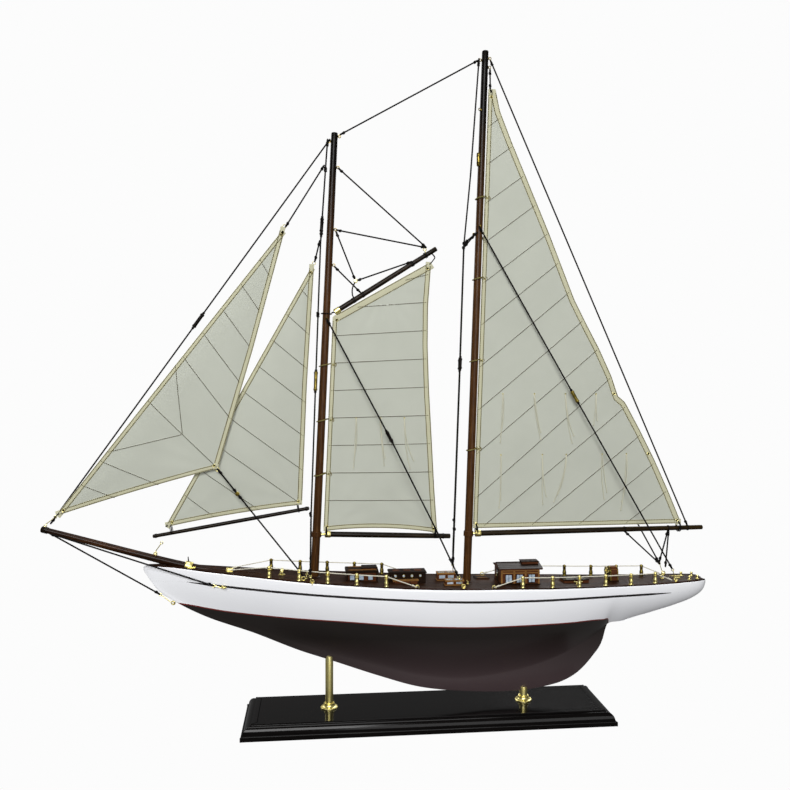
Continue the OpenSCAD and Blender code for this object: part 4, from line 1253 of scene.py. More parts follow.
def make_eyes():
    made = Part()
    lifeline_eyes = (LINE_FORE_END - (0, 0, 2), LINE_AFT_START - (0, 0, 2))
    for p in (FORE_SHROUD_EYE, FORE_RUNNER_EYE, MAIN_RUNNER_EYE, *lifeline_eyes):
        made.add(both_sides(screw_eye(p, face=PORT_TO_STARBOARD)), BRASS)
    made.add(screw_eye(SHEET_EYE, face=PORT_TO_STARBOARD), BRASS)
    made.add(screw_eye(JIB_SHEET_EYE, face=PORT_TO_STARBOARD), BRASS)
    made.add(screw_eye(BOB_EYE, BOB_OUT, face=PORT_TO_STARBOARD), BRASS)
    made.add(both_sides(screw_eye(SPRIT_SHROUD_EYE, SPRIT_SHROUD_OUT, face=(0, 0, 1))), BRASS)
    made.add(screw_eye((-267.8, 0, 168.4), shank=2.5, ring=1.5, face=PORT_TO_STARBOARD), BRASS)
    made.make("deck_screw_eyes", "ship", "brass", "deck_eyes")

    # height and heading in degrees of each eye on a mast; 0 faces the stern
    fore = ((578, 180), (583, 0), (552, 0), (490, 0), (454.5, 0), (401, -90), (401, 90))
    main = ((665, 180), (667, 0), (658, 0), (495.5, -90), (495.5, 90), (614, -150), (488, 180))
    masts = Part()
    for at, top, eyes in ((fore_at, FORE_HEAD[2], fore), (main_at, MAIN_HEAD[2], main)):
        for z, heading in eyes:
            r = MAST_R - MAST_TAPER * max(0, z - TAPER_FROM) / (top - TAPER_FROM)
            t = math.radians(heading)
            d = np.array([math.cos(t), math.sin(t), 0])
            face = (-d[1], d[0], 0)
            masts.add(screw_eye(at(z) + d * r, d, ring=1.3, wire=0.42, shank=1.5, face=face), DARK_AND_SHADED_BRASS)
    masts.make("mast_screw_eyes", "ship", "brass", "mast_eyes")


# ends of each hook, and whether there is one on either side
HOOKS = [
    ((-117.2, -25.9, 151), FORE_SHROUD_EYE + (0, 0, 2.6), True),
    ((250, -15.9, 146.6), MAIN_RUNNER_EYE + (0, 0, 2.6), True),
    ((-210, -14.3, 141.2), SPRIT_SHROUD_EYE + (-1.6, -1.2, 1), True),
    ((-263, 0, 130.4), BOB_EYE + (-1.6, 0, -1.4), False), ((-261.8, 0, 181), (-267.8, 0, 171.2), False),
    ((-362, 0, 207.6), (-371.2, 0, 199.6), False),
]


def make_hooks():
    made = Part()
    made.add(hook((27, -28, 147), FORE_RUNNER_EYE + (0, 0, 2.6)), BRASS)
    made.add(hook((30.6, 28, 147), FORE_RUNNER_EYE * (1, -1, 1) + (0, 0, 2.6)), BRASS)
    for a, b, twice in HOOKS:
        shape = hook(a, b)
        made.add(both_sides(shape) if twice else shape, BRASS)
    made.make("rigging_hook_set", "ship", "brass", "rigging_hooks")


make_companion()
make_trunk()
make_skylights()
make_deckhouse()
make_aft_fittings()
make_windlass()
make_stanchions()
make_cleats()
make_eyes()
make_hooks()


# ---------------------------------------------------------------- spars
FORE_BOOM = [np.array(p) for p in ((-103.3, 0, 186.5), (23.4, 0, 182.3))]
MAIN_BOOM = [np.array(p) for p in ((48.6, 0, 184.6), (289, 0, 186.8))]
GAFF = [np.array(p) for p in ((-93.5, 0, 407.5), (8.2, 0, 472.3))]
GAFF_CORNER = np.array([-72.5, 0, 439.0])
CLUB = [np.array(p) for p in ((-270.3, 0, 187.3), (-118.5, 0, 212.6))]


def spar(a, b, ra, rb, belly=0.15):
    """Turned spar, a little fuller in the middle, with rounded ends."""
    length = np.linalg.norm(b - a)
    profile = [(0.3, 0), (ra - 0.5, 0.1), (ra, 0.6)]
    for t in np.linspace(0.03, 0.97, 20):
        profile.append((ra + (rb - ra) * t + belly * math.sin(math.pi * t), length * t))
    profile += [(rb, length - 0.6), (rb - 0.5, length - 0.15), (0.3, length)]
    return lathe(profile, a, b - a, 28)


def sleeve(a, b, at, r, w):
    """Band round a spar from a to b, at a distance along it."""
    d = unit(b - a)
    near = [(r - 0.4, -w), (r + 0.15, -w), (r + 0.35, -w + 0.25)]
    far = [(r + 0.35, w - 0.25), (r + 0.15, w), (r - 0.4, w)]
    return lathe(near + far, a + d * at, d, 28)


def mast_collar(at, up, boom, r):
    """Collar that turns on the mast with jaws that hold the boom's end."""
    d = unit(boom[1] - boom[0])
    u = unit(d - up * (d @ up))
    ring = [(4.08, -2.6), (4.7, -2.6), (4.95, -2.3), (4.95, 2.3), (4.7, 2.6), (4.08, 2.6)]
    socket = [
        (r - 0.4, 0.2), (r + 0.4, 0.2), (r + 0.6, 0.6), (r + 0.6, 5.6), (r + 0.4, 6.0), (r - 0.4, 6.0),
    ]
    jaws = joined(
        lathe(socket, boom[0], d, 32, loop=True), rod(at + u * 4.4, boom[0] + d * 1.4, 1.3, 1.3, 20),
    )
    return lathe(ring, at, up, 48, loop=True), jaws


def make_spars():
    boom = Part()
    boom.add(spar(MAIN_BOOM[0], MAIN_BOOM[1] + (0.6, 0, 0), 2.8, 2.3), SPAR_WOOD)
    for at in (157, 203.9, 224.8):
        boom.add(sleeve(*MAIN_BOOM, at, 2.6, 0.7), BLOCK_WOOD)
    boom.make("main_boom_spar", "mainsail_rig", "spar_wood", "main_boom")
    band, jaws = mast_collar(main_at(184.6), MAIN_UP, MAIN_BOOM, 2.8)
    part("main_boom_jaws", "mainsail_rig", "brass", "main_gooseneck", (band, MAIN_PAINT), (jaws, BRASS))

    boom = Part()
    boom.add(spar(FORE_BOOM[0], FORE_BOOM[1], 2.7, 2.4), SPAR_WOOD)
    boom.add(sleeve(*FORE_BOOM, 119.3, 2.5, 0.7), BLOCK_WOOD)
    boom.make("fore_boom_spar", "foresail_rig", "spar_wood", "fore_boom")
    band, jaws = mast_collar(fore_at(186.5), FORE_UP, FORE_BOOM, 2.7)
    part("fore_boom_jaws", "foresail_rig", "brass", "fore_gooseneck", (band, FORE_PAINT), (jaws, BRASS))

    d = unit(GAFF[1] - GAFF[0])
    gaff = Part()
    gaff.add(spar(GAFF[0], GAFF[1] + d * 0.6, 2.6, 2.2), GAFF_WOOD)
    tip = [(0.4, -11.5), (2.3, -11.2), (2.42, -10), (2.42, 0), (2.2, 0.9), (0.4, 1.4)]
    gaff.add(lathe(tip, GAFF[1], d, 28), SPAR_WOOD)
    gaff.add(sleeve(*GAFF, 3.2, 2.66, 3.1), BRASS)
    ring_at = fore_at(406)
    gaff.add(torus(ring_at, FORE_UP, 5.2, 0.5, 40, 10), BLOCK_WOOD)
    gaff.add(rod(ring_at + unit(GAFF[0] - ring_at) * 5.0, GAFF[0] + d, 0.7, 0.7, 12), BLOCK_WOOD)
    # straps where the halyards and the bridle are made fast
    for at in (22.8, 33.5, 92.4, 108.6):
        p = GAFF[0] + d * at
        for k in (-0.75, 0.75):
            gaff.add(torus(p + d * k, d, 2.65, 0.5, 28, 8), TARRED)
    p = GAFF[0] + d * 108.6
    gaff.add(rod(p + (0, 0, 2.4), p + (-0.6, 0, 4.6), 0.5, 0.45, 12), BRASS)
    gaff.add(torus(p + (-0.9, 0, 6.0), PORT_TO_STARBOARD, 1.5, 0.45, 24, 8), BRASS)
    gaff.add(rod(GAFF_CORNER - (0, 1.2, 0), GAFF_CORNER + (0, 1.2, 0), 1.9, 1.9, 20), BRASS)
    for y in (-0.5, 0.5):
        lashing_path = smooth_path([(4.4, y, 468), (7.4, y, 464), (5.4, y, 460.5), (2.0, y, 456.5)])
        gaff.add(tube(lashing_path, 0.55, 8), TARRED)
    gaff.make("gaff_spar", "foresail_rig", "spar_wood", "gaff")

    club = Part()
    club.add(spar(CLUB[0], CLUB[1], 1.75, 1.75), SPAR_WOOD)
    club.add(sleeve(*CLUB, 3.0, 1.75, 1.2), BLOCK_WOOD)
    club.add(sleeve(*CLUB, 151, 1.75, 1.2), BLOCK_WOOD)
    club.make("club_boom_spar", "staysail_rig", "spar_wood", "club_boom")


def cord_piece(name, body, path, replaces=(), r=0.8, material=None, ends=True, knots=()):
    """A rope along path with its own knots.

    Returns its pieces.
    """
    path = np.asarray(path, float)
    material = material or TARRED
    line = spaced(path, 0.9)
    made = Part()
    made.add(rope(path, r, 3.4), material)
    slot = "pale_cord" if material is PALE else "rigging_cord"
    obj = made.make(name, body, slot, replaces, angle=60)
    knot_part = Part()
    if ends:
        for a, b in ((path[0], path[1]), (path[-1], path[-2])):
            d = unit(b - a)
            knot_part.add(whipping(a + d * 1.2, a + d * 4.0, r * 1.12), material)
            knot_part.add(knot(a + d * 4.6, d, r * 1.45), material)
    for p, d in knots:
        knot_part.add(knot(p, d, r * 1.6), material)
    extra = []
    if knot_part.n:
        extra = [knot_part.make(name + "_knots", body, slot, angle=60)]
    return [obj, *extra]


def starboard(line, lead=0.0):
    """The starboard copy of a port line, set further aft by lead times its breadth."""
    line = np.asarray(line, float)
    return line * (1, -1, 1) - line[..., 1:2] * lead * np.array(FORE_AND_AFT)


def port_and_starboard(name, path, replaces=(), lead=0.0, tail=(), knots=(), **more):
    """A pair of cords on the ship; the starboard one has tail as a last stretch and its own lead."""
    cord_piece(name + "_port", "ship", path, replaces, knots=knots, **more)
    knots = [(starboard(p, lead), starboard(d)) for p, d in knots]
    cord_piece(name + "_starboard", "ship", [*starboard(path, lead), *tail], knots=knots, **more)


RUNNER_LEAD, SHROUD_LEAD = 0.125, 0.335
FORE_SHROUD = [
    (-100.4, -2.4, 579.5), (-101.8, -3.5, 560), (-107.4, -8.6, 476), (-112.5, -17, 330),
    (-116.8, -24, 203), (-117.4, -26, 152),
]
FORE_RUNNER = [(-101.6, -5.4, 400.9), (-36.8, -15.6, 278), (6.8, -24.3, 190), (26.5, -28, 148)]
MAIN_SHROUD = [
    (52.4, -2.4, 665.8), (42.6, -8.2, 546.6), (35.2, -11.8, 476.3), (29.9, -18.2, 350), (21.5, -27, 161),
]
MAIN_RUNNER = [(51.8, -4.8, 495.5), (152, -11.4, 318), (249.6, -16, 147.5)]
FORESTAY = [(-366.5, 0, 201), (-97.9, 0, 580.2)]
JIB_BLOCK = np.array([-188.0, -10, 229])


def between(name, a, b, replaces=()):
    """A cord from a on the ship to b on another body."""
    for piece in cord_piece(name, None, [a, b], replaces):
        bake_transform(piece)


def make_rigging():
    ship = "ship"
    cord_piece("forestay_line", ship, FORESTAY, "forestay")
    cord_piece("spring_stay_line", ship, [(-88.4, 0, 584.6), (52.4, 0, 665)], "spring_stay")
    cord_piece("bobstay_line", ship, [(-368, 0, 192.6), (-263, 0, 130.4)], "bowsprit_stays")
    port_and_starboard("bowsprit_shroud", [(-366, -1.6, 192), (-210, -14.3, 141.2)])
    knots = [((-102.5, -4.2, 549.8), UP), ((-110, -12.8, 405), UP)]
    port_and_starboard("fore_shroud", FORE_SHROUD, "fore_shrouds", knots=knots)
    port_and_starboard("fore_runner", FORE_RUNNER, "fore_runners", RUNNER_LEAD)
    knots = [(MAIN_SHROUD[2], UP), ((23, -25.5, 194), UP)]
    tail = [(30.8, 28, 148)]
    port_and_starboard("main_shroud", MAIN_SHROUD, "main_shrouds", SHROUD_LEAD, tail, knots)
    cord_piece("main_short_stay_port", ship, [(50.2, -4.6, 489.5), MAIN_SHROUD[2]])
    stay = [(50.2, 4.6, 489.5), starboard(MAIN_SHROUD[2], SHROUD_LEAD)]
    cord_piece("main_short_stay_starboard", ship, stay)
    port_and_starboard("main_runner", MAIN_RUNNER, "main_runners")
    cord_piece("jib_halyard", ship, [(-142, -6, 490), (-103.6, -4.4, 553)], "headsail_halyards")
    cord_piece("jib_sheet_upper", ship, [(-207.5, -6, 253), JIB_BLOCK], "headsail_sheets")
    cord_piece("jib_sheet_lower", ship, [JIB_BLOCK, JIB_SHEET_EYE + (0, 0, 4.4)])
    between("staysail_halyard", (-108, -7, 478), (-113.2, 0, 457.4))
    between("staysail_sheet", (-116.5, -20, 207), (-117.5, -4, 209))
    between("topping_lift_line", (64.4, 0, 665.6), (273.4, 0, 188.6), "topping_lift")
    between("main_halyard", (64.2, 0, 656.6), (64.4, 0, 635))
    between("mainsheet_aft", (242.8, 0, 150.7), (252.5, 0, 184.6), "mainsheet")
    between("mainsheet_aftmost", (249.6, 0, 145.8), (253.2, 0, 184.6))
    between("mainsheet_fore", (244, 0, 149), (205.6, 0, 184))
    peak = np.array([-0.9, 0, 473.5])
    between("peak_halyard_upper", (-90, 0, 551.6), peak, "peak_halyards")
    between("peak_halyard_lower", (-92.4, 0, 489.8), peak)
    between("gaff_bridle_upper", (-92.2, 0, 488.6), GAFF_CORNER)
    cord_piece("gaff_bridle_lower", "foresail_rig", [GAFF_CORNER, (-15.6, 0, 459.4)])
    strap = smooth_path([GAFF_CORNER, (-75.6, 0, 432), (-75.6, 0, 425), (-73.6, 0, 421.5)], 10)
    cord_piece("gaff_bridle_strap", "foresail_rig", strap, r=0.7, ends=False)
    between("throat_halyard", (-94, 0, 453.6), (-67, 0, 427))


def make_lifelines():
    fore = [np.array([-196, -4.2, 153.8])] + [rail_top(x) for x in STANCHIONS_FORE] + [LINE_FORE_END]
    aft = [LINE_AFT_START] + [rail_top(x) for x in STANCHIONS_AFT] + [LINE_AFT_END]
    port_and_starboard("lifeline_fore", fore, "lifelines", r=0.5, material=PALE)
    port_and_starboard("lifeline_aft", aft, r=0.5, material=PALE)


def turnbuckle(a, b, f, length, r):
    """Barrel threaded on a cord between a and b, f of the way along; returns (barrel, end beads)."""
    a, b = np.asarray(a, float), np.asarray(b, float)
    d = unit(b - a)
    at = a + (b - a) * f - d * length / 2
    near = [(0.6, 0.6), (r * 0.8, 0.7), (r, 1.3), (r, 2.4), (r * 0.86, 2.8)]
    far = [(r * 0.82, length - 2.8), (r, length - 2.4), (r, length - 1.3), (r * 0.8, length - 0.7)]
    barrel = lathe(near + far + [(0.6, length - 0.6)], at, d, 24)
    bead = [(0.55, -1.6), (1.2, -1.4), (1.35, -0.3), (1.1, 0.8), (0.55, 1.0)]
    other = [(r_bead, length - h) for r_bead, h in bead[::-1]]
    return barrel, joined(lathe(bead, at, d, 16), lathe(other, at, d, 16))


def make_blocks():
    made = Part()

    def put(a, b, f, length, r, material, lead=0.0):
        """A barrel on the port cord and one on the starboard; lead None for a cord on the centre line."""
        lines = [(a, b)]
        if lead is not None:
            lines.append((starboard(a, lead), starboard(b, lead)))
        for start, end in lines:
            barrel, beads = turnbuckle(start, end, f, length, r)
            made.add(barrel, material)
            made.add(beads, BLOCK_WOOD)

    put(FORE_SHROUD[1], FORE_SHROUD[2], 0.8, 15, 1.9, BLOCK_WOOD)
    put(FORE_SHROUD[2], FORE_SHROUD[3], 0.94, 20, 2.0, DARK_AND_SHADED_BRASS)
    put(FORE_RUNNER[0], FORE_RUNNER[1], 0.95, 12, 1.9, BLOCK_WOOD, RUNNER_LEAD)
    put(MAIN_SHROUD[2], MAIN_SHROUD[3], 0.95, 12, 2.0, BLOCK_WOOD, SHROUD_LEAD)
    put(MAIN_RUNNER[0], MAIN_RUNNER[1], 0.97, 14, 2.1, DARK_AND_SHADED_BRASS)
    put(FORESTAY[0], FORESTAY[1], 0.52, 17, 2.1, BLOCK_WOOD, None)
    # tall block at the side of the mainmast, with two dark rings
    x, y, z = main_at(556)[0] - 3.5, -3.4, 556
    cheek = [(0.5, 0), (1.6, 0.3), (2.0, 1), (2.0, 13), (1.6, 13.7), (0.5, 14)]
    made.add(lathe(cheek, (x, y, z), UP, 24), DARK_AND_SHADED_BRASS)
    for up in (3.5, 10.5):
        made.add(torus((x, y, z + up), UP, 1.95, 0.35, 24, 8), BLOCK_WOOD)
    made.make("rigging_block_set", "ship", "block_wood", "rigging_blocks")
    # pulley at the jib's sheet
    pulley = Part()
    for s in SIDES:
        cheek = [(0.3, s * 1.5), (1.6, s * 1.4), (2.0, s * 1.0), (2.0, s * 0.5), (0.3, s * 0.45)]
        pulley.add(lathe(cheek, JIB_BLOCK, PORT_TO_STARBOARD, 24), DARK_AND_SHADED_BRASS)
    sheave = [(0.4, -0.45), (1.3, -0.4), (1.0, 0), (1.3, 0.4), (0.4, 0.45)]
    pulley.add(lathe(sheave, JIB_BLOCK, PORT_TO_STARBOARD, 24), BRASS)
    pulley.add(torus(JIB_BLOCK, PORT_TO_STARBOARD, 2.1, 0.22, 28, 6), BRASS)
    pulley.make("jib_sheet_pulley", "ship", "block_wood")


make_spars()
make_rigging()
make_lifelines()
make_blocks()


# ---------------------------------------------------------------- sails
CLOTH_T = 0.5
FORE_LUFF = [(-104.2, 189.9), (-95, 403)]
MAIN_LUFF = [(46.9, 190.2), (62.9, 636)]


def resampled(line, n):
    """n points evenly spaced along an [x, z] line."""
    line = np.asarray(line, float)
    run = np.concatenate([[0], np.cumsum(np.linalg.norm(np.diff(line, axis=0), axis=1))])
    at = np.linspace(0, run[-1], n)
    return np.stack([np.interp(at, run, line[:, 0]), np.interp(at, run, line[:, 1])], 1)


def run_of(path):
    return np.linalg.norm(np.diff(path, axis=0), axis=1).sum()


def sides_of(path):
    """Unit vectors square to an [x, z] path at its points, to its left."""
    d = np.gradient(path, axis=0)
    d /= np.linalg.norm(d, axis=1)[:, None]
    return np.stack([-d[:, 1], d[:, 0]], 1)


def offset(path, by):
    return path + sides_of(path) * by


class Sail:
    """A cloth between its luff and its leech, cambered about the plane Y = y.

    The luff and the leech are [x, z] lines drawn from the foot to the head.
    """

    def __init__(self, name, body, node, luff, leech, camber, y=0.0, arch=0.0):
        self.name, self.body, self.node = name, body, node
        self.luff, self.leech = np.asarray(luff, float), np.asarray(leech, float)
        self.camber, self.y, self.arch = camber, y, arch
        tack, clew, head, peak = self.luff[0], self.leech[0], self.luff[-1], self.leech[-1]
        self.sides = [(tack, clew), (clew, peak), (head, tack)]
        if np.linalg.norm(peak - head) > 20:
            self.sides.append((peak, head))
        self.corners = [tack, clew, (head + peak) / 2]
        self.middle = (tack + clew + head + peak) / 4
        self.cloth, self.hems, self.thread, self.metal, self.reefs = Part(), Part(), Part(), Part(), Part()

    def depth(self, p):
        """Y of the cloth's middle at [x, z] points."""
        p = np.asarray(p, float)
        shape = np.ones(p.shape[:-1])
        for a, b in self.sides:
            n = unit((-(b - a)[1], (b - a)[0]))
            n = n if (self.middle - a) @ n > 0 else -n
            reach = abs((self.middle - a) @ n)
            shape = shape * np.tanh(np.maximum((p - a) @ n, 0) / (0.55 * reach))
        fold = np.zeros_like(shape)
        for k, c in enumerate(self.corners):
            d = p - c
            far = np.hypot(d[..., 0], d[..., 1])
            turn = np.arctan2(d[..., 1], d[..., 0])
            fold += 0.34 * np.sin(turn * 17 + 2 * k) * np.exp(-far / 62) * np.minimum(far / 9, 1)
        fold += 0.16 * np.sin(
            p[..., 0] / 23 + 1.3 * np.sin(p[..., 1] / 31)
        ) * np.sin(p[..., 1] / 37 + 0.7)
        ease = np.tanh(shape * 6)
        return self.y + self.camber * shape * 1.5 + fold * ease

    def point(self, p, out=0.0):
        p = np.asarray(p, float)
        return np.stack([p[..., 0], self.depth(p) + out, p[..., 1]], -1)

    def make_cloth(self, across_n, up_n):
        left, right = resampled(self.luff, up_n), resampled(self.leech, up_n)
        u = np.linspace(0, 1, across_n)
        v = np.linspace(0, 1, up_n)
        flat = left[:, None] * (1 - u[None, :, None]) + right[:, None] * u[None, :, None]
        flat[..., 1] += self.arch * 4 * (u * (1 - u))[None, :] * ((1 - v) ** 6)[:, None]
        near, far = self.point(flat, -CLOTH_T / 2), self.point(flat, CLOTH_T / 2)
        ring_index = (
            [(i, 0) for i in range(up_n)] + [(up_n - 1, j) for j in range(1, across_n)] + [
                (i, across_n - 1) for i in range(up_n - 2, -1, -1)
            ] + [(0, j) for j in range(across_n - 2, 0, -1)]
        )
        n = up_n * across_n
        face = grid_faces(up_n, across_n, closed=False)
        faces = face + [tuple(n + k for k in f[::-1]) for f in face]
        ids = [i * across_n + j for i, j in ring_index]
        faces += [(a, b, b + n, a + n) for a, b in zip(ids, ids[1:] + ids[:1])]
        self.cloth.add((np.concatenate([near.reshape(-1, 3), far.reshape(-1, 3)]), faces), SAIL)
        outline = np.concatenate([flat[:, 0], flat[-1, 1:], flat[-2::-1, -1], flat[0, -2:0:-1]])
        x, z = outline[:, 0], outline[:, 1]
        self.area = abs(np.sum(x * np.roll(z, -1) - z * np.roll(x, -1))) / 2
        self.foot, self.top = flat[0], flat[-1]

    def ribbon(self, path, width, lift, material):
        """A band sewn on both faces of the cloth along an [x, z] path."""
        path = resampled(path, max(3, int(run_of(path) / 3)))
        side = sides_of(path)
        h, w = CLOTH_T / 2 + lift, width / 2
        e = min(0.16, width / 4)
        near = [(-w, -h + 0.1), (-w + e, -h), (w - e, -h), (w, -h + 0.1)]
        section = near + [(w, h - 0.1), (w - e, h), (-w + e, h), (-w, h - 0.1)]
        rows = np.stack([self.point(path + side * s, out) for s, out in section], 1)
        self.hems.add(rings(rows), material)

    def stitches(self, path, lift, pitch=1.8, length=2.0, width=1.0, thread=SEWING, proud=0.45):
        """Running stitches along an [x, z] path, standing proud on both faces."""
        n = int(run_of(path) / pitch)
        dense = resampled(path, n * 2 + 1)
        mid = dense[1::2]
        d = dense[2::2] - dense[:-2:2]
        d /= np.linalg.norm(d, axis=1)[:, None]
        s = np.stack([-d[:, 1], d[:, 0]], 1)
        for face in SIDES:
            low, high = face * (CLOTH_T / 2 + lift - 0.05), face * (CLOTH_T / 2 + lift + proud)
            corners = []
            for a, b, out in (
                (-0.5, 0, low), (-0.25, -0.5, low), (0.25, -0.5, low), (0.5, 0, low), (0.25, 0.5, low),
                (-0.25, 0.5, low), (-0.22, 0, high), (0.22, 0, high),
            ):
                corners.append(self.point(mid + d * a * length + s * b * width, out))
            pts = np.stack(corners, 1).reshape(-1, 3)
            one = [
                (0, 1, 6), (1, 2, 7, 6), (2, 3, 7), (3, 4, 7), (4, 5, 6, 7), (5, 0, 6),
                (5, 4, 3, 2, 1, 0),
            ]
            faces = [tuple(8 * k + i for i in f) for k in range(n) for f in one]
            self.thread.add((pts, faces), thread)

    def hem(self, edge, width, inward):
        """A folded edge with two rows of stitches.

        inward is 1 if the cloth lies to the left of the edge line and -1 if it lies to the right.
        """
        edge = resampled(edge, max(8, int(run_of(edge) / 4)))
        self.ribbon(offset(edge, inward * (width / 2 - 0.35)), width, 0.2, HEM)
        for at in (0.3, width - 0.9):
            self.stitches(offset(edge, inward * at)[1:-1], 0.2)

    def hem_round(self, luff_width, leech_width, foot_width):
        self.hem(self.luff, luff_width, -1)
        self.hem(self.leech, leech_width, 1)
        self.hem(self.foot, foot_width, 1)

    def seam(self, a, b, start, end, width=2.0):
        """Two cloths overlapped from a to b, less start and end, and sewn with one dark line."""
        along = unit(b - a)
        a, b = a + along * start, b - along * end
        path = resampled([a, b], max(4, int(np.hypot(*(np.subtract(b, a))) / 4)))
        self.ribbon(path, width, 0.08, SAIL)
        d = unit(path[-1] - path[0])
        full = resampled([path[0] - d * 2.4, path[-1] + d * 2.4], len(path) + 2)
        self.stitches(full, 0.2, 1.8, 1.75, 0.8, SEAM_THREAD, 0.13)

    def at_luff(self, z):
        return np.array([np.interp(z, self.luff[:, 1], self.luff[:, 0]), z])

    def at_leech(self, z):
        return np.array([np.interp(z, self.leech[:, 1], self.leech[:, 0]), z])

    def cringle(self, p, r=1.5):
        at = self.point(p)
        for face in SIDES:
            rim = [(r * 0.62, 0.0), (r * 0.66, 0.3), (r * 0.85, 0.42), (r, 0.3), (r * 1.05, 0.0)]
            on_face = at + (0, face * (CLOTH_T / 2 + 0.15), 0)
            self.metal.add(lathe(rim, on_face, (0, face, 0), 20, loop=True), BRASS)
        self.metal.add(
            lathe(
                [(0.05, -0.5), (r * 0.6, -0.5), (r * 0.6, 0.5), (0.05, 0.5)], at, PORT_TO_STARBOARD, 16,
            ),
            BLOCK_WOOD,
        )

    def reef_point(self, top, drop, drift, face, phase=0.0):
        """A pair of cords hanging from an eyelet on one face of the cloth."""
        for k in (-0.9, 0.9):
            s = np.linspace(0, 1, 12)
            long = drop * (1 - 0.09 * k)
            x = top[0] + k * (0.35 + 0.8 * s) + drift * s**2 + 1.3 * np.sin(2.6 * s + phase + k) * s
            z = top[1] - long * s
            path = self.point(np.stack([x, z], 1), 0.0)
            path[:, 1] += face * (CLOTH_T / 2 + 0.45 + 0.5 * np.sin(math.pi * s))
            path[0] = self.point(top) + (0.2 * k, face * 0.1, 0)
            self.reefs.add(rope(path, 0.42, 3.0, 0.8, 9), REEF)
            self.reefs.add(knot(path[-1] + (0, face * 0.1, 0.4), (0, 0, 1), 0.55), REEF)

    def lashing(self, x, z, r, wire, half_gap, tilt=None):
        """Two turns of twine round the spar under a corner."""
        for k in (-half_gap, half_gap):
            axis = (1, 0, 0.1 * k if tilt is None else tilt)
            self.metal.add(torus((x + k, 0, z), axis, r, wire, 28, 8), TARRED)

    def finish(self):
        """Makes the pieces."""
        obj = self.cloth.make(self.name + "_cloth", self.body, "sailcloth", self.node, angle=60)
        for ending, made, slot in (
            ("hems", self.hems, "sailcloth"), ("stitching", self.thread, "sailcloth"),
            ("cringles", self.metal, "brass"), ("reef_points", self.reefs, "pale_cord"),
        ):
            if made.n:
                made.make(f"{self.name}_{ending}", self.body, slot, angle=40)


def make_mainsail():
    leech = [
        (266.2, 191.5), (252.5, 224), (237.5, 257), (221.5, 288.5), (205.5, 317.5), (197.8, 323.5),
        (191, 344), (177.5, 373), (164.5, 397), (151.5, 422.5), (138, 457), (125, 490), (112, 521),
        (99, 552), (86, 583), (74, 614), (69.5, 636),
    ]
    s = Sail("mainsail", "mainsail_rig", "mainsail", MAIN_LUFF, leech, -2.6)
    s.make_cloth(64, 150)
    for k in range(14):
        b = s.at_leech(608 - 29.4 * k)
        if k < 10:
            a = s.at_luff(597 - 38.2 * k - 0.42 * k * k)
        else:
            a = np.array([57 + 49.6 * (k - 10), 191.5])
        s.seam(a, b, 3.5, 4.5)
    s.hem_round(4.6, 6.0, 4.8)
    for p in ((50, 194), (262, 194.5), (65.6, 628)):
        s.cringle(p)
    for z in (270, 360, 443, 525):
        s.cringle(s.at_luff(z) + (2.2, 0), 1.1)
    for z in (264, 326):
        s.cringle(s.at_leech(z) - (3.2, 0), 1.4)
    # x, drop and drift of each reef point in the upper and the lower row
    upper = ((77, 46, -3), (109.4, 43, 7), (141.8, 47, 9), (174.2, 30, 0))
    lower = ((75, 50, 0), (118, 47, 3), (143, 45, -11), (181, 43, 3), (207, 54, -6))
    for face in SIDES:
        for k, (x, drop, drift) in enumerate(upper):
            s.reef_point((x, 326), drop, drift, face, k)
        for k, (x, drop, drift) in enumerate(lower):
            s.reef_point((x, 264), drop, drift, face, 2 + k)
    for row, z in ((upper, 326), (lower, 264)):
        for x, _, _ in row:
            s.cringle((x, z), 0.8)
    for x in (50.2, 263.6):
        s.lashing(x, 188, 4.9, 0.5, 0.55)
    s.metal.add(knot((65.2, -0.6, 633.5), UP, 1.2), TARRED)
    s.finish()


def make_foresail():
    leech = [(9.6, 186.2), (6.6, 230), (4.2, 275), (1.2, 330), (-0.2, 375), (0.2, 415), (3.5, 459)]
    s = Sail("foresail", "foresail_rig", "foresail", FORE_LUFF, leech, -1.7, arch=4.0)
    s.make_cloth(44, 84)
    for k in range(-2, 7):
        b = s.at_leech(390 - 28.5 * k)
        z = 384 - 27.3 * k
        if k < 0:
            z += 1.5
            t = (z - 403) / (459 - 403)
            a = np.array([-95 + 98.5 * t + 6, z])
        else:
            a = s.at_luff(z)
        s.seam(a, b, 3.5, 4)
    s.hem_round(4.6, 5.4, 4.6)
    s.hem(s.top, 7.0, -1)
    for p in ((-100.8, 194), (6, 190), (0.2, 452.5), (-91.2, 399.8)):
        s.cringle(p)
    for z in (246, 300, 355):
        s.cringle(s.at_luff(z) + (2.2, 0), 1.1)
    for face in SIDES:
        for k, (drop, drift) in enumerate(((46, -3), (44, 5), (47, 8))):
            s.reef_point((-72 + 24.2 * k, 302), drop, drift, face, 1.5 * k)
    for k in range(3):
        s.cringle((-72 + 24.2 * k, 302), 0.8)
    for x, z in ((-101.6, 188.5), (7.6, 185.5)):
        s.lashing(x, z, 4.8, 0.5, 0.5)
    s.finish()


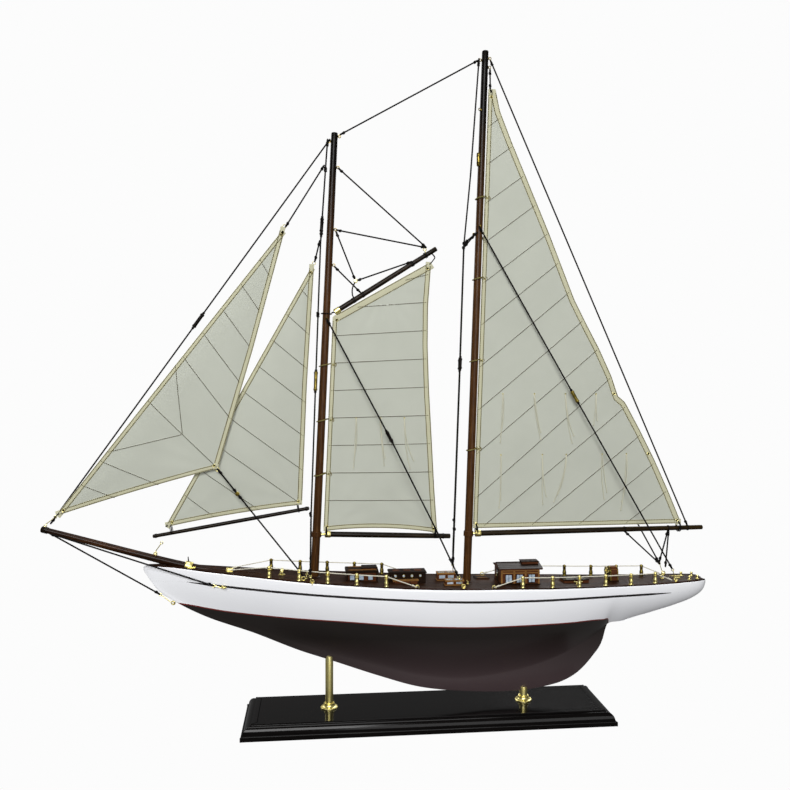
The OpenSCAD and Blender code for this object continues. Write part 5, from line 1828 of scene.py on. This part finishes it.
def make_jib():
    tack, head, clew = np.array([-359.0, 210]), np.array([-142.0, 490]), np.array([-207.5, 254])
    tip = head - (2.6, 3.2)
    leech = [clew, clew + (head - clew) * 0.5 + (1.5, 0), head]
    s = Sail("jib", "ship", "jib_sail", [tack, tip], leech, -2.2, y=-6.0, arch=1.5)
    s.make_cloth(40, 90)

    def on_luff(t):
        return head + (tack - head) * t

    mitre_end = on_luff(0.607)
    mitre = (mitre_end + clew) / 2
    seams = [(on_luff(0.114 + 0.085 * k), head + (clew - head) * (0.212 + 0.147 * k)) for k in range(5)]
    seams += [(mitre_end, clew), (on_luff(0.486), mitre), (on_luff(0.786), mitre)]
    seams += [(on_luff(t), tack + (clew - tack) * u) for t, u in ((0.814, 0.634), (0.896, 0.363))]
    for a, b in seams:
        s.seam(a, b, 3.2, 3.2)
    s.hem_round(4.4, 4.8, 4.4)
    for p in (tack + (6.5, 4.6), clew + (-3.2, 2.2), head + (-4.0, -7.5)):
        s.cringle(p)
    s.metal.add(torus((-142.8, -6, 491), PORT_TO_STARBOARD, 1.7, 0.4, 24, 8), BRASS)
    s.metal.add(torus((-207.6, -6, 252.6), PORT_TO_STARBOARD, 1.7, 0.4, 24, 8), BRASS)
    s.metal.add(tube([(-352.5, -6, 214.5), (-357, -4.5, 211), (-361.4, -1.2, 208.4)], 0.4, 8), BRASS)
    s.finish()


def make_staysail():
    tack, head, clew = np.array([-258.0, 196.5]), np.array([-114.0, 455]), np.array([-126.0, 216.5])
    tip = head - (2.4, 3.0)
    leech = [clew, clew + (head - clew) * 0.5 - (1.2, 0), head]
    s = Sail("staysail", "staysail_rig", "staysail", [tack, tip], leech, -2.4, arch=2.0)
    s.make_cloth(40, 84)
    for k in range(9):
        z = 431 - 25.4 * k
        a = np.array([-258 + 144 * (z - 196.5) / 258.5, z])
        if k < 7:
            z = 418 - 33.6 * k
            b = s.at_leech(z)
        else:
            x = (-168, -211)[k - 7]
            b = np.array([x, 196.5 + 20 * (x + 258) / 132 + 1.5])
        s.seam(a, b, 3.2, 3.2)
    s.hem_round(4.4, 4.8, 4.6)
    for p in (tack + (6.0, 4.4), clew + (-3.2, 3.0), head + (-3.0, -8.0)):
        s.cringle(p)
    s.metal.add(torus((-114.0, 0, 456.2), PORT_TO_STARBOARD, 1.5, 0.36, 24, 8), BRASS)
    for x, z in ((-252.5, 193.6), (-129.5, 212.6)):
        s.lashing(x, z, 3.9, 0.32, 0.5, 0.16)
    s.finish()


def make_hoops():
    """Cord hoops round the masts, each with two rings through the luff's cringle."""
    for side, at, up, heights, (foot, head), reach in (
        ("fore", fore_at, FORE_UP, (246, 300, 355), FORE_LUFF, 1.0),
        ("main", main_at, MAIN_UP, (270, 360, 443, 525), MAIN_LUFF, 0.5),
    ):
        made = Part()
        for z in heights:
            axis = unit(up - (0.3, 0, 0))
            made.add(torus(at(z) + (reach, 0, 0), axis, 5.0 + reach, 0.6, 40, 10), HOOP_CORD)
            x = foot[0] + (head[0] - foot[0]) * (z - foot[1]) / (head[1] - foot[1]) + 2.2
            for drop in (0, 1.2):
                made.add(torus((x + drop, 0, z + 1.4 - drop), (0.3, 1, 0), 2.0, 0.45, 24, 8), HOOP_CORD)
        made.make(f"{side}sail_hoops", f"{side}sail_rig", "rigging_cord", f"{side}_hoops", angle=50)


make_mainsail()
make_foresail()
make_jib()
make_staysail()
make_hoops()


# ---------------------------------------------------------------- floor
def stage_piece(name, points, faces, material):
    mesh = bpy.data.meshes.new(name)
    mesh.from_pydata(points, [], faces)
    mesh.materials.append(material)
    obj = bpy.data.objects.new(name, mesh)
    bpy.context.scene.collection.objects.link(obj)
    obj.visible_diffuse = obj.visible_glossy = obj.visible_transmission = obj.visible_shadow = False


def make_stage():
    n, reach = 64, 14.0
    circle = [(math.cos(2 * math.pi * k / n), math.sin(2 * math.pi * k / n)) for k in range(n)]
    stage_piece("floor", [(reach * x, reach * y, -0.0002) for x, y in circle], [tuple(range(n))], FLOOR)
    rows = []
    levels = 24
    for t in np.linspace(-4, 89, levels):
        c, s = math.cos(math.radians(t)), math.sin(math.radians(t))
        rows.append([(reach * x * c, reach * y * c, reach * s) for x, y in circle])
    points, faces = rings(rows, caps=False)
    faces.append(tuple((levels - 1) * n + k for k in range(n)))
    stage_piece("backdrop", points.tolist(), faces, BACKDROP)


make_stage()
